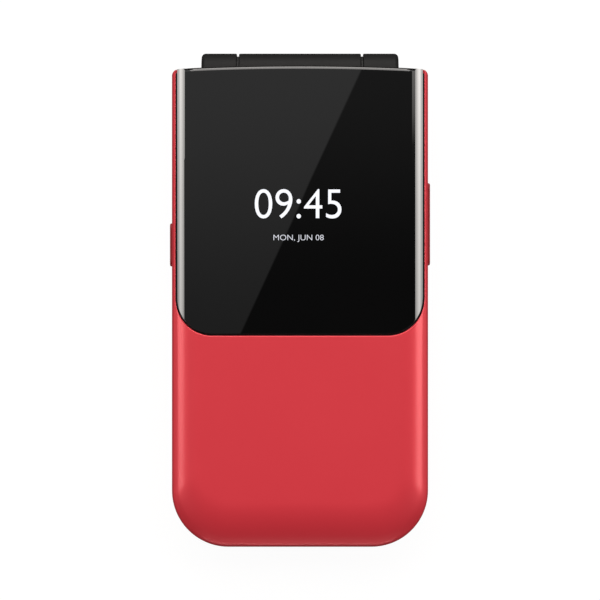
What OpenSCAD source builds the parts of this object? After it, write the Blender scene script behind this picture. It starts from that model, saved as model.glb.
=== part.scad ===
// Clamshell mobile phone, closed, lying on its back.
// Millimetres. +Z is up through the lid, +Y points to the hinge end, +X to the volume key.
// The origin is the middle of the bounding box, at the level of the back face.

/* [Closed phone] */
// Width across the straight sides
body_w = 54.4; // [52:0.2:60]
// Length from the bottom end to the hinge barrel
body_l = 104.8; // [102:0.2:112]
// Thickness of the keypad half
base_h = 12.6; // [12.2:0.1:14]
// Thickness of the lid
lid_h = 5.7; // [5.6:0.1:7]
// Gap between the closed halves
lid_gap = 0.4; // [0.3:0.05:0.6]
// Radius of the bottom corners, seen from above
corner_r = 12; // [10:0.5:14]
// Radius of the corners beside the hinge, seen from above
shoulder_r = 1.5; // [0.8:0.1:2.5]
// How far the hinge end of the lid is arched
arch = 0.65; // [0.2:0.05:1]

/* [Edge rounding] */
// Radius along the long edges of the lid
lid_edge_r = 5; // [4:0.1:5.2]
// Radius along the long edges of the back
back_edge_r = 6; // [4:0.1:6.4]
// Length over which the bottom end curves down
end_run = 9.6; // [7:0.1:10]
// Drop of the lid over that length
end_drop = 5; // [4:0.1:5.2]
// Rise of the back over that length
end_rise = 6; // [4:0.1:6.4]

/* [Walls] */
// Wall of the lid shell
lid_wall = 1.8; // [1.6:0.1:2]
// Wall of the rear housing
base_wall = 1.6; // [1.4:0.1:1.8]
// Thickness of the battery cover
cover_t = 1.1; // [0.9:0.05:1.2]
// Thickness of the keypad frame plate
frame_t = 1.2; // [1:0.05:1.3]
// Clearance between parts that drop into each other
fit = 0.05; // [0.03:0.01:0.1]

/* [Gloss panel] */
// Distance of the panel's sides from the sides of the lid
panel_side = 1.2; // [1.15:0.05:1.6]
// Distance of the panel's lower edge from the hinge axis
panel_down = 55.1; // [52:0.1:57]
// Radius of the panel's lower corners
panel_corner_r = 7.5; // [5:0.5:9]
// Thickness of the panel
panel_t = 1; // [0.8:0.05:1.1]
// Depth to which the panel wraps down the long edges
panel_wrap = 3; // [2.6:0.1:3.4]
// Thickness of the adhesive under the panel
panel_glue = 0.13; // [0.1:0.01:0.16]

/* [Hinge] */
// Radius of the barrel and of the end knuckles
barrel_r = 4.6; // [4.3:0.05:4.7]
// Length of the barrel on the lid
barrel_l = 25.9; // [24:0.1:28]
// Length of each end knuckle on the base
knuckle_l = 7.5; // [6.5:0.1:8]
// Gap between the barrel and a knuckle
knuckle_gap = 0.45; // [0.3:0.05:0.6]
// Radial clearance round the barrel and the knuckles
barrel_gap = 0.15; // [0.12:0.01:0.25]
// Height of the hinge axis above the keypad deck
axis_rise = 0.2; // [0.1:0.05:0.3]
// How far the lid reaches beyond the hinge axis
lid_reach = 1.7; // [1.4:0.05:2]
// How far the base reaches beyond the hinge axis
base_reach = 0.4; // [0.2:0.05:0.6]
// Opening angle at the stop faces
open_angle = 160; // [150:1:165]
// Gap left at the stop faces when the lid is open
stop_gap = 0.15; // [0.1:0.01:0.3]
// Radius of the bore in the barrel
barrel_bore_r = 3.05; // [2.9:0.05:3.1]
// Outer radius of the hollow sleeve
sleeve_r = 2.6; // [2.4:0.05:2.7]
// Wall of the hollow sleeve
sleeve_wall = 0.5; // [0.4:0.05:0.6]
// Radius of the cam shaft
shaft_r = 2.1; // [1.9:0.05:2.2]
// Running clearance of the shaft and of the sleeve
running = 0.05; // [0.03:0.01:0.08]
// Length of the spring cartridge
cartridge_l = 13.5; // [12:0.1:14]
// Wall of the spring cartridge
cartridge_wall = 0.6; // [0.5:0.05:0.7]

/* [Keypad] */
// Width of a digit key
key_w = 14.6; // [13:0.1:15]
// Gap between the rows of digit keys
row_gap = 1.2; // [1.1:0.1:1.8]
// Spacing of the columns
key_pitch_x = 15.6; // [15.4:0.1:16]
// Length of the keypad half outside the digit rows
keypad_rest = 65.6; // [64:0.1:67]
// Corner radius of the keys
key_r = 1.6; // [1:0.1:2]
// Distance of the lowest row from the bottom end
keypad_up = 14.6; // [13.5:0.1:15.5]
// Travel of a keypad key
key_travel = 0.3; // [0.2:0.05:0.35]
// Gap round a key in the frame
key_gap = 0.15; // [0.12:0.01:0.25]
// How far a key stands above the deck
key_proud = 0.2; // [0.1:0.05:0.25]
// Width of the flange that keeps a key in the frame
key_flange = 0.4; // [0.3:0.05:0.45]
// Thickness of that flange
flange_t = 0.35; // [0.3:0.01:0.4]
// Radius of the navigation ring
ring_r = 10; // [9:0.1:10.4]
// Radius of the centre key
centre_r = 4.4; // [4:0.1:5]
// Width of the soft, call and end keys
corner_key_w = 11.2; // [10:0.1:11.6]
// Length of the soft, call and end keys
corner_key_l = 9; // [8:0.1:9.4]

/* [Side keys] */
// Length of the volume rocker
volume_l = 17.6; // [16:0.1:19]
// Distance of the rocker's middle from the hinge axis
volume_down = 31.6; // [30:0.1:34]
// Length of the emergency key
emergency_l = 9.2; // [8:0.1:10]
// Distance of the emergency key's middle from the hinge axis
emergency_down = 36; // [34:0.1:38]
// Height of the side keys
side_key_h = 2.8; // [2.4:0.1:3]
// How far the side keys stand out
side_proud = 0.5; // [0.4:0.05:0.6]
// Travel of a side key
side_travel = 0.25; // [0.15:0.05:0.3]

/* [Board and battery] */
// Thickness of the main board
board_t = 0.8; // [0.7:0.05:0.9]
// Space between the board and the frame plate
key_space = 1.2; // [1.15:0.05:1.3]
// Depth of the housing floor's upper face below the deck
floor_down = 5; // [4.9:0.1:5.2]
// Thickness of the housing floor
floor_t = 0.7; // [0.6:0.05:0.8]
// Distance of the battery from the sides
battery_side = 5.7; // [5.4:0.1:7]
// Distance of the battery from the cover's upper edge
battery_end = 7; // [6.6:0.1:10]
// Space between the battery and its cover
battery_gap = 0.75; // [0.6:0.05:1.2]
// Distance of the battery's lower end from the bottom end
battery_up = 20.4; // [20:0.1:21]
// Distance of the battery cover's upper edge from the hinge axis
cover_down = 20.8; // [20.5:0.1:21.5]
// Height to which the cover wraps up the sides
cover_wrap = 4.2; // [3.6:0.1:4.6]

/* [Displays] */
// Distance of the main display's picture from the sides
main_side = 5.85; // [5.4:0.05:7]
// Length of the lid outside the main display's picture
main_rest = 47.9; // [47:0.1:50]
// Side of the square outer display's picture
outer_view = 23.4; // [22:0.1:24]
// Distance of the outer display's middle from the hinge axis
outer_down = 30.8; // [29:0.1:32]
// Thickness of the main display
main_display_t = 1.8; // [1.6:0.05:1.85]
// Thickness of the display window
window_t = 0.7; // [0.6:0.05:0.75]
// Thickness of the inner bezel
bezel_t = 1.2; // [1.1:0.05:1.25]

/* [Sockets] */
// Radius of the headset plug's hole
jack_r = 1.78; // [1.77:0.01:1.85]
// Length of the headset jack
jack_l = 14; // [13:0.1:14.5]
// Outer radius of the jack's nose
jack_nose_r = 2.5; // [2.4:0.05:2.7]
// Distance of the headset jack from the middle
jack_x = 11.5; // [10.5:0.1:12.5]
// Width of the charging socket
usb_w = 7.6; // [7.5:0.05:7.8]
// Height of the charging socket
usb_h = 2.5; // [2.4:0.05:2.6]
// Length of the charging socket
usb_l = 5.2; // [5:0.1:5.6]

/* [Fasteners] */
// Radius of a screw's shank
screw_r = 0.7; // [0.6:0.05:0.8]
// Radius of a screw's head
screw_head_r = 1.3; // [1.2:0.05:1.4]
// Height of a screw's head
screw_head_h = 0.6; // [0.5:0.05:0.7]
// Radius of a rubber bumper
bumper_r = 1.7; // [1.6:0.05:2]

/* [Hidden] */

$fn = 48;
edge_steps = 4;  // flats in each quarter round of the outer form
eps = 0.01;      // overlap that makes a cut run clean through
far = 80;        // longer than half the phone

// levels, from the back up
z_frame = base_h - frame_t;
z_lid = base_h + lid_gap;
z_top = z_lid + lid_h;
z_axis = base_h + axis_rise;
z_board_top = z_frame - key_space;
z_board = z_board_top - board_t;
floor_z = base_h - floor_down;
z_bay_roof = floor_z - floor_t;
z_back_floor = 1.5;
z_speaker = z_back_floor + 0.2;

// places along the phone
half_w = body_w / 2;
y_end = -body_l / 2;
y_corner = y_end + corner_r;
y_axis = body_l / 2 - barrel_r;
y_lid = y_axis + lid_reach;
y_base = y_axis + base_reach;
y_cover = y_axis - cover_down;
y_cavity = y_axis - barrel_r - barrel_gap - 1.2;    // inner face of the wall beside the hinge

// hinge, along X
barrel_x = barrel_l / 2;
knuckle_x0 = barrel_x + knuckle_gap;
knuckle_x1 = knuckle_x0 + knuckle_l;
knuckle_wall = 1.2;                 // closed outer end of a knuckle
sweep_r = norm([lid_reach, z_top - z_axis]) + stop_gap;
cartridge_r = barrel_bore_r - fit / 2;
cartridge_x0 = barrel_x - cartridge_l;
shaft_x0 = cartridge_x0 + 9.2;      // inner end of the cam shaft
cam_l = 0.5;                        // cams at the inner end of the shaft
spring_wire = 0.3;
spring_turns = 6;
sleeve_x1 = barrel_x - 2.6;         // the sleeve turns in this last stretch of the barrel
flex_t = 0.12;
flex_w = 6;
flex_x = sleeve_x1 - 0.6;
flex_coil_r = 2.45;
base_flex_w = 3;
base_flex_x = -(knuckle_x0 + knuckle_l / 2);
base_flex_z = z_axis - barrel_r + 0.6;

// lid
bezel_lip = 0.4;                    // edge of the bezel that shows below the shell
lip_inset = 0.25;
bezel_inset = lid_wall + 0.3;         // inner part of the bezel
outer_y = y_axis - outer_down;
outer_module = outer_view + 4.6;
main_view_w = body_w - 2 * main_side;
main_view_l = body_l - main_rest;
main_y = -0.2;
window_w = body_w - 6;
window_l = main_view_l + 23.1;
window_y = main_y - 2.2;
window_r = 4;
main_display_w = main_view_w + 4;
main_display_l = main_view_l + 9.5;
z_main_display = z_lid + bezel_t + fit;
z_lid_board = z_main_display + main_display_t + fit;
lid_board_t = 0.4;
earpiece_y = y_axis - barrel_r - 3.4;
earpiece_w = 12;
earpiece_l = 5;
slot_w = 9;
slot_l = 1.3;
lid_screw_l = 3;
lid_boss_r = screw_head_r + 0.4;
lid_screw_places = [
    for (side = [-1, 1]) for (y = [y_end + 6.6, y_axis - barrel_r - 4])
        [side * (y < 0 ? half_w - 7.4 : half_w - 4.4), y]
];

// keypad
dome_base = 0.1;
dome_h = 0.25;
dome_r = 2.2;
plunger_r = 1.2;
z_flange = z_frame - fit - flange_t;
z_plunger = z_board_top + dome_base + dome_h + key_travel + 0.02;
clear_w = 10;
clear_l = 5.4;
key_pitch_y = (body_l - keypad_rest) / 4;
key_l = key_pitch_y - row_gap;
ring_y = y_axis - 26;
clear_y = ring_y - ring_r - 4.9;
corner_x = half_w - 3.6 - corner_key_w / 2;
corner_y = [ring_y + 6.4, ring_y - 6.4];
digit_names = [["key_1", "key_2", "key_3"], ["key_4", "key_5", "key_6"],
               ["key_7", "key_8", "key_9"], ["key_star", "key_0", "key_hash"]];
function digit_place(row, column) =
    [(column - 1) * key_pitch_x, y_end + keypad_up + (3 - row) * key_pitch_y];

// every rectangular key as name, X, Y, width and length
digit_keys = [for (row = [0 : 3]) for (column = [0 : 2])
    let (p = digit_place(row, column)) [digit_names[row][column], p[0], p[1], key_w, key_l]];
function_keys = [
    ["soft_key_left", -corner_x, corner_y[0], corner_key_w, corner_key_l],
    ["soft_key_right", corner_x, corner_y[0], corner_key_w, corner_key_l],
    ["call_key", -corner_x, corner_y[1], corner_key_w, corner_key_l],
    ["end_key", corner_x, corner_y[1], corner_key_w, corner_key_l],
    ["clear_key", 0, clear_y, clear_w, clear_l]
];
flat_keys = concat(digit_keys, function_keys);

// base
battery_w = body_w - 2 * battery_side;
battery_t = z_bay_roof - fit - cover_t - battery_gap;
battery_l = y_cover - battery_end - y_end - battery_up;
battery_y = y_end + battery_up + battery_l / 2;
bay_gap = 0.3;
mic_y = y_end + 5.6;
camera_y = y_axis - 13.6;
camera_r = 4.3;
flash_x = 9;
flash_r = 1.5;
flash_board = 4;                    // side of the lamp's board
camera_side = 8.6;                  // side of the camera's housing
speaker_x = -(half_w - 12.8);
speaker_w = 14;
speaker_l = 10;
speaker_t = 3.8;
slot_pitch = 1.5;
slot_w_back = 0.8;
motor_r = 2.2;
motor_l = 6.5;
motor_x = half_w - 14.8;
antenna_w = 10;
antenna_l = 6;
antenna_t = 5;
mic_w = 3.8;
mic_l = 3;
sim_w = 16;
sim_l = 15;
sim_y = battery_y + battery_l / 2 - sim_l / 2 - 2;
shield_w = 34;
shield_l = 24;
shield_wall = 0.2;
shield_y = sim_y - sim_l / 2 - 5.4 - shield_l / 2;
z_usb = z_board - usb_h;
jack_z = z_board - jack_nose_r - fit - 0.1;
side_z = z_board - 0.15 - side_key_h / 2;
volume_y = y_axis - volume_down;
emergency_y = y_axis - emergency_down;
side_flange = 0.4;
side_flange_t = 0.45;
base_boss_r = screw_r + 0.5;
base_screw_places = [
    for (side = [-1, 1]) for (y = [y_end + 7.8, ring_y])
        [side * (y < 0 ? half_w - 6.8 : half_w - 4.9), y]
];
switch_places = [
    [1, volume_y - volume_l / 4], [1, volume_y + volume_l / 4], [-1, emergency_y]
];

// outline of points on an ellipse, counted from angle a0 to a1
function arc(cx, cy, rx, ry, a0, a1, steps = 12) =
    [for (i = [0 : steps]) let (a = a0 + (a1 - a0) * i / steps) [cx + rx * cos(a), cy + ry * sin(a)]];

// ---- shapes of the whole phone ----

// section of the closed phone across its width
module section(inset) {
    for (side = [-1, 1]) {
        translate([side * (half_w - lid_edge_r), z_top - lid_edge_r])
            circle(lid_edge_r - inset, $fn = 4 * edge_steps);
        translate([side * (half_w - back_edge_r), back_edge_r])
            circle(back_edge_r - inset, $fn = 4 * edge_steps);
    }
}

// round end piece in a bottom corner
module corner_puck(inset) {
    flat_r = corner_r - end_run;
    rotate_extrude($fn = 24) polygon(concat(
        [[0, inset]],
        arc(flat_r, end_rise, end_run - inset, end_rise - inset, -90, 0, edge_steps),
        arc(flat_r, z_top - end_drop, end_run - inset, end_drop - inset, 0, 90, edge_steps),
        [[0, z_top - inset]]));
}

// the closed phone as one convex form, moved inwards by inset
module form(inset = 0) {
    hull() {
        for (y = [y_corner, y_lid + 1])
            translate([0, y, 0]) rotate([90, 0, 0]) linear_extrude(eps) section(inset);
        for (side = [-1, 1])
            translate([side * (half_w - corner_r), y_corner, 0]) corner_puck(inset);
    }
}

// outline seen from above, moved inwards by inset
module plan(inset = 0) {
    arch_x = half_w - shoulder_r;
    arch_steps = 12;
    top_r = max(shoulder_r - inset, 0.2);
    polygon(concat(
        arc(-(half_w - corner_r), y_corner, corner_r - inset, corner_r - inset, 180, 270),
        arc(half_w - corner_r, y_corner, corner_r - inset, corner_r - inset, 270, 360),
        arc(half_w - inset - top_r, y_lid - arch - inset - top_r, top_r, top_r, 0, 80, 6),
        [for (i = [1 : arch_steps - 1]) let (t = 1 - 2 * i / arch_steps)
            [t * (arch_x - inset), y_lid - inset - arch * t * t]],
        arc(-(half_w - inset - top_r), y_lid - arch - inset - top_r, top_r, top_r, 100, 180, 6)));
}

// slab of that outline between two levels
module slab(z0, z1, inset = 0) {
    translate([0, 0, z0]) linear_extrude(z1 - z0) plan(inset);
}

// rectangular block by its middle in X and Y, its size and its levels
module block(x, y, w, l, z0, z1) {
    translate([x - w / 2, y - l / 2, z0]) cube([w, l, z1 - z0]);
}

// block with round upright edges
module round_block(x, y, w, l, z0, z1, r) {
    translate([x, y, z0]) linear_extrude(z1 - z0) round_plan(w, l, r);
}

module round_plan(w, l, r) {
    polygon(concat(
        arc(w / 2 - r, l / 2 - r, r, r, 0, 90, 8),
        arc(-w / 2 + r, l / 2 - r, r, r, 90, 180, 8),
        arc(-w / 2 + r, -l / 2 + r, r, r, 180, 270, 8),
        arc(w / 2 - r, -l / 2 + r, r, r, 270, 360, 8)));
}

// rod along the hinge axis
module axis_rod(r, x0, x1) {
    translate([x0, y_axis, z_axis]) rotate([0, 90, 0]) cylinder(r = r, h = x1 - x0);
}

// room that the barrel and the knuckles need
module barrel_room(x0 = -knuckle_x1 - knuckle_gap, x1 = knuckle_x1 + knuckle_gap) {
    axis_rod(barrel_r + barrel_gap, x0, x1);
}

// ---- lid ----

// outline of the gloss panel seen from above
module panel_plan(grow = 0) {
    w = half_w - panel_side + grow;
    y0 = y_axis - panel_down - grow;
    r = panel_corner_r + grow;
    polygon(concat(
        arc(-w + r, y0 + r, r, r, 180, 270),
        arc(w - r, y0 + r, r, r, 270, 360),
        [[w, y_lid + 2], [-w, y_lid + 2]]));
}

// screws and bumpers of the lid share their places
module at_places(places) {
    for (p = places) translate([p[0], p[1], 0]) children();
}

module lid_shell() {
    color("#c93e47") difference() {
        union() {
            difference() {
                intersection() {
                    form();
                    slab(z_lid + bezel_lip, z_top + 1);
                }
                intersection() {
                    form(lid_wall);
                    slab(z_lid, z_top, lid_wall);
                }
            }
            intersection() {
                form(lid_wall / 2);
                at_places(lid_screw_places)
                    translate([0, 0, z_lid + bezel_t + fit]) cylinder(r = lid_boss_r, h = lid_h);
            }
        }
        difference() {
            translate([0, 0, z_top - panel_wrap]) linear_extrude(lid_h) panel_plan(fit);
            form(panel_t + panel_glue);
        }
        barrel_room();
        block(0, outer_y, outer_module + 2 * fit, outer_module + 2 * fit, z_lid, z_top);
        at_places(lid_screw_places)
            translate([0, 0, z_lid]) cylinder(r = screw_r + fit, h = lid_screw_l + 0.7, $fn = 24);
    }
}

module lid_panel() {
    color("#101010") difference() {
        intersection() {
            form();
            slab(z_top - panel_wrap, z_top + 1);
            translate([0, 0, z_top - panel_wrap]) linear_extrude(lid_h) panel_plan();
        }
        form(panel_t);
    }
}

module bezel_outline() {
    slab(z_lid, z_lid + bezel_lip, lip_inset);
    slab(z_lid + bezel_lip - eps, z_lid + bezel_t, bezel_inset);
}

module lid_bezel() {
    color("#2a2a29") difference() {
        union() {
            bezel_outline();
            axis_rod(barrel_r, -barrel_x, barrel_x);
        }
        for (side = [-1, 1])
            barrel_room(side < 0 ? -knuckle_x1 - knuckle_gap : barrel_x,
                        side < 0 ? -barrel_x : knuckle_x1 + knuckle_gap);
        round_block(0, window_y, window_w + 2 * fit, window_l + 2 * fit,
                    z_lid - 1, z_lid + window_t + fit, window_r);
        block(0, main_y, main_view_w + 1, main_view_l + 1, z_lid - 1, z_lid + bezel_t + 1);
        round_block(0, earpiece_y, slot_w, slot_l, z_lid - 1, z_lid + bezel_t + 1, 0.6);
        round_block(0, earpiece_y, slot_w + 1.2, slot_l + 1.2, z_lid + 0.3, z_lid + bezel_t + 1, 0.6);
        axis_rod(barrel_bore_r, -sleeve_x1 + eps, barrel_x + eps);
        axis_rod(sleeve_r + running, -barrel_x - 1, -sleeve_x1 + 2 * eps);
        flex_slot();
        at_places(lid_screw_places) {
            translate([0, 0, z_lid - 1]) cylinder(r = bumper_r + fit, h = 1.3);
            translate([0, 0, z_lid]) cylinder(r = screw_r + fit, h = 3, $fn = 24);
            translate([0, 0, z_lid]) cylinder(r = screw_head_r + fit, h = 0.3 + screw_head_h - 0.1, $fn = 24);
        }
    }
}

// slot in the roof of the barrel through which the flexible circuit leaves
module flex_slot() {
    translate([-flex_x, y_axis - barrel_r - 1, z_axis + barrel_bore_r - 0.7])
        cube([flex_w + 0.6, barrel_r + 1, 0.7]);
}

module display_window() {
    color("#0c0d0f") 
        round_block(0, window_y, window_w, window_l, z_lid, z_lid + window_t, window_r - fit);
}

module main_display() {
    color("#20242c")
        block(0, main_y, main_display_w, main_display_l, z_main_display, z_main_display + main_display_t);
}

module lid_board() {
    color("#1f6b3a") {
        block(0, main_y, main_display_w - 3, main_display_l, z_lid_board, z_lid_board + lid_board_t);
    }
}

module outer_display() {
    z0 = z_lid_board + lid_board_t + fit;
    color("#101318") block(0, outer_y, outer_module, outer_module, z0, z_top - panel_t - fit);
}

module earpiece() {
    color("#3b3b3d") {
        round_block(0, earpiece_y, earpiece_w, earpiece_l, z_main_display, z_main_display + 1.8, 1.2);
    }
}

module earpiece_mesh() {
    color("#6d6d70") difference() {
        round_block(0, earpiece_y, slot_w + 1, slot_l + 1, z_lid + 0.3 + fit, z_lid + 0.6, 0.6);
        for (i = [-8 : 8])
            translate([i * 0.5, earpiece_y, z_lid]) cylinder(r = 0.15, h = 2, $fn = 16);
    }
}

module lid_bumpers() {
    color("#1b1b1b") at_places(lid_screw_places)
        translate([0, 0, base_h]) cylinder(r = bumper_r, h = lid_gap + 0.3);
}

module lid_magnet() {
    color("#b8b8ba")
        block(half_w - 9.6, y_end + 12.4, 4, 3, z_main_display, z_main_display + 1.6);
}

module lid_screws() {
    color("#8b8b8e") at_places(lid_screw_places) {
        translate([0, 0, z_lid + 0.3 + fit]) cylinder(r = screw_head_r, h = screw_head_h - 0.2, $fn = 24);
        translate([0, 0, z_lid + 0.3 + fit]) cylinder(r = screw_r, h = lid_screw_l, $fn = 24);
    }
}

// ---- hinge ----

module hinge_cartridge() {
    color("#a9abb0") difference() {
        axis_rod(cartridge_r, cartridge_x0, barrel_x - 0.1);
        axis_rod(shaft_r + running, cartridge_x0 + cartridge_wall, barrel_x + 1);
    }
}

module hinge_spring() {
    x0 = cartridge_x0 + cartridge_wall + fit;
    spring_l = shaft_x0 - cam_l - fit - x0;
    color("#c7c9cc") translate([x0, y_axis, z_axis])
        rotate([0, 90, 0])
            linear_extrude(spring_l, twist = -360 * spring_turns, slices = 16 * spring_turns, $fn = 8)
                translate([shaft_r - spring_wire - fit, 0]) circle(spring_wire);
}

module hinge_shaft() {
    color("#8f9196") difference() {
        union() {
            axis_rod(shaft_r, shaft_x0, knuckle_x1 - knuckle_wall);
            for (turn = [0, 120, 240])
                translate([shaft_x0 - cam_l, y_axis, z_axis]) rotate([turn, 0, 0])
                    translate([0, -0.5, 0.7]) cube([cam_l + 0.3, 1, 0.9]);
        }
        axis_rod(0.6, shaft_x0 - 1, shaft_x0 + 3);
    }
}

module hinge_sleeve() {
    color("#c9c4b4") difference() {
        axis_rod(sleeve_r, -knuckle_x1 + knuckle_wall, -sleeve_x1 + eps);
        axis_rod(sleeve_r - sleeve_wall, -knuckle_x1, 0);
        // slot for the tail that goes down to the board
        translate([-knuckle_x1 + 2, y_axis - sleeve_r, z_axis - sleeve_r - 1])
            cube([knuckle_l - 4, sleeve_r + 1, 2]);
    }
}

// coil in the barrel, with a tail through the slot to the lid board
module lid_flex() {
    tail_w = flex_x - earpiece_w / 2 - 0.35;
    y_board = main_y + main_display_l / 2 + 0.2;
    color("#c98a2c") {
        translate([-flex_x, y_axis, z_axis]) rotate([0, 90, 0]) rotate([0, 0, 180])
            rotate_extrude(angle = 300) translate([flex_coil_r, 0]) square([flex_t, flex_w]);
        translate([-flex_x, y_axis - barrel_r - 0.7, z_axis + flex_coil_r])
            cube([flex_w, barrel_r + 0.7, flex_t]);
        // past the earpiece and up to the edge of the lid board
        translate([-flex_x, y_board, z_axis + flex_coil_r])
            cube([tail_w, y_axis - barrel_r - y_board, flex_t]);
        translate([-flex_x, y_board, z_axis + flex_coil_r])
            cube([tail_w, flex_t, z_lid_board + lid_board_t - z_axis - flex_coil_r]);
    }
}

// tail inside the hollow sleeve, down to the main board
module base_flex() {
    x0 = base_flex_x - base_flex_w / 2;
    y0 = y_cavity - 3;
    y1 = y_axis - 1.2;
    color("#c98a2c") {
        translate([x0, y1, base_flex_z]) cube([base_flex_w, flex_t, barrel_r - 0.8]);
        translate([x0, y0, base_flex_z]) cube([base_flex_w, y1 - y0, flex_t]);
        translate([x0, y0, z_board - 1.2]) cube([base_flex_w, flex_t, base_flex_z + flex_t + 1.2 - z_board]);
    }
}

// ---- keypad ----

// round clearance for the ring, taken out of the keys beside it
module ring_room(grow) {
    translate([0, ring_y, 0]) cylinder(r = ring_r + grow, h = base_h + 2, $fn = 64);
}

// one rectangular key: cap, flange under the frame plate, plunger over its dome
module flat_key(key) {
    difference() {
        union() {
            round_block(key[1], key[2], key[3], key[4], z_flange, base_h + key_proud, key_r);
            round_block(key[1], key[2], key[3] + 2 * key_flange, key[4] + 2 * key_flange,
                        z_flange, z_flange + flange_t, key_r);
            translate([key[1], key[2], z_plunger]) cylinder(r = plunger_r, h = z_flange - z_plunger + eps);
        }
        // the cap beside the ring is cut back to the ring's edge, its flange further
        ring_room(0.9);
        intersection() {
            ring_room(0.9 + 2 * key_flange + key_gap);
            translate([-far, -far, 0]) cube([2 * far, 2 * far, z_frame + fit]);
        }
    }
}

module navigation_ring() {
    color("#b9bcc2") difference() {
        union() {
            translate([0, ring_y, z_flange])
                cylinder(r = ring_r, h = base_h + key_proud - z_flange, $fn = 64);
            translate([0, ring_y, z_flange]) cylinder(r = ring_r + key_flange, h = flange_t, $fn = 64);
            for (turn = [0 : 90 : 270])
                translate([0, ring_y, z_plunger]) rotate([0, 0, turn]) translate([ring_r * 0.74, 0, 0])
                    cylinder(r = plunger_r * 0.8, h = z_flange - z_plunger + eps);
        }
        translate([0, ring_y, 0]) cylinder(r = centre_r + key_gap, h = base_h + 1);
        translate([0, ring_y, 0])
            cylinder(r = centre_r + key_flange + 2 * key_gap, h = z_flange + 2 * flange_t);
    }
}

module centre_key() {
    color("#d4d6da") {
        translate([0, ring_y, z_flange]) cylinder(r = centre_r, h = base_h + key_proud - z_flange);
        translate([0, ring_y, z_flange]) cylinder(r = centre_r + key_flange, h = flange_t);
        translate([0, ring_y, z_plunger]) cylinder(r = plunger_r, h = z_flange - z_plunger + eps);
    }
}

module key_openings() {
    difference() {
        for (key = flat_keys)
            round_block(key[1], key[2], key[3] + 2 * key_gap, key[4] + 2 * key_gap,
                        z_frame - 1, base_h + 1, key_r + key_gap);
        ring_room(0.9 - key_gap);
    }
    translate([0, ring_y, z_frame - 1]) cylinder(r = ring_r + key_gap, h = frame_t + 2, $fn = 64);
}

// the rectangular keys are coloured and drawn by name
module named_key(name) {
    color("#232325") for (key = flat_keys) if (key[0] == name) flat_key(key);
}

// stop faces: the room that the open lid takes, and the arc of its corner
module open_lid_room() {
    translate([-far, y_axis, z_axis]) rotate([-open_angle, 0, 0])
        translate([0, -far, -1]) cube([2 * far, far + lid_reach + stop_gap, z_top - z_axis + stop_gap + 1]);
    intersection() {
        axis_rod(sweep_r, -far, far);
        translate([-far, y_axis, z_axis - far]) cube([2 * far, far, far]);
    }
}

module keypad_frame() {
    color("#2a2a29") {
        difference() {
            union() {
                difference() {
                    union() {
                        slab(z_frame, base_h);
                        // rim that drops into the rear housing
                        difference() {
                            slab(z_frame - 0.6, z_frame + eps, base_wall + 0.2);
                            slab(z_frame - 1, z_frame + 1, base_wall + 1);
                        }
                    }
                    translate([-far, y_cavity, z_frame - 2]) cube([2 * far, far, 2]);
                    open_lid_room();
                    barrel_room();
                    key_openings();
                }
                for (side = [-1, 1])
                    axis_rod(barrel_r, side < 0 ? -knuckle_x1 : knuckle_x0,
                             side < 0 ? -knuckle_x0 : knuckle_x1);
                // webs from the knuckles to the deck
                for (side = [-1, 1])
                    block(side * (knuckle_x0 + knuckle_l / 2), y_axis - barrel_r / 2 - 1, knuckle_l, barrel_r,
                          z_frame, base_h);
                at_places(base_screw_places)
                    translate([0, 0, z_board_top + fit]) cylinder(r = base_boss_r, h = z_frame - z_board_top);
            }
            axis_rod(sleeve_r + fit / 2, -knuckle_x1 + knuckle_wall - fit, -knuckle_x0 + 1);
            axis_rod(shaft_r + fit / 2, knuckle_x0 - 1, knuckle_x1 - knuckle_wall + fit);
            translate([-knuckle_x1 + 2, y_axis - 3, z_axis - barrel_r - 1])
                cube([knuckle_l - 4, 3.2, barrel_r]);
            translate([0, mic_y, z_frame - 1]) cylinder(r = 0.5, h = frame_t + 2, $fn = 24);
            at_places(base_screw_places)
                translate([0, 0, z_board_top])
                    cylinder(r = screw_r + fit, h = z_frame - z_board_top + 0.5, $fn = 24);
        }
    }
}

// ---- rear housing and what shows on the back ----

// rounded lower edge of the base beside the hinge
module back_end() {
    end_r = 5;
    translate([-far, 0, 0]) rotate([90, 0, 90]) linear_extrude(2 * far) polygon(concat(
        [[-far, -1]],
        arc(y_base - end_r, end_r, end_r, end_r + eps, -90, 0),
        [[y_base, z_top], [-far, z_top]]));
}

module base_form() {
    difference() {
        intersection() {
            form();
            slab(-1, z_frame);
            back_end();
        }
        open_lid_room();
        barrel_room();
    }
}

// everything outside this form, below the cover's edge, belongs to the battery cover
module cover_zone(grow) {
    translate([-far, y_end - 1, -1]) cube([2 * far, y_cover + grow - y_end + 1, cover_wrap + grow + 1]);
}

module battery_cover() {
    color("#c93e47") difference() {
        intersection() {
            form();
            cover_zone(0);
        }
        form(cover_t);
        // finger notch at the bottom end
        translate([0, y_end - 1, cover_wrap]) rotate([-90, 0, 0]) cylinder(r = 1.4, h = 3);
    }
}

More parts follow.
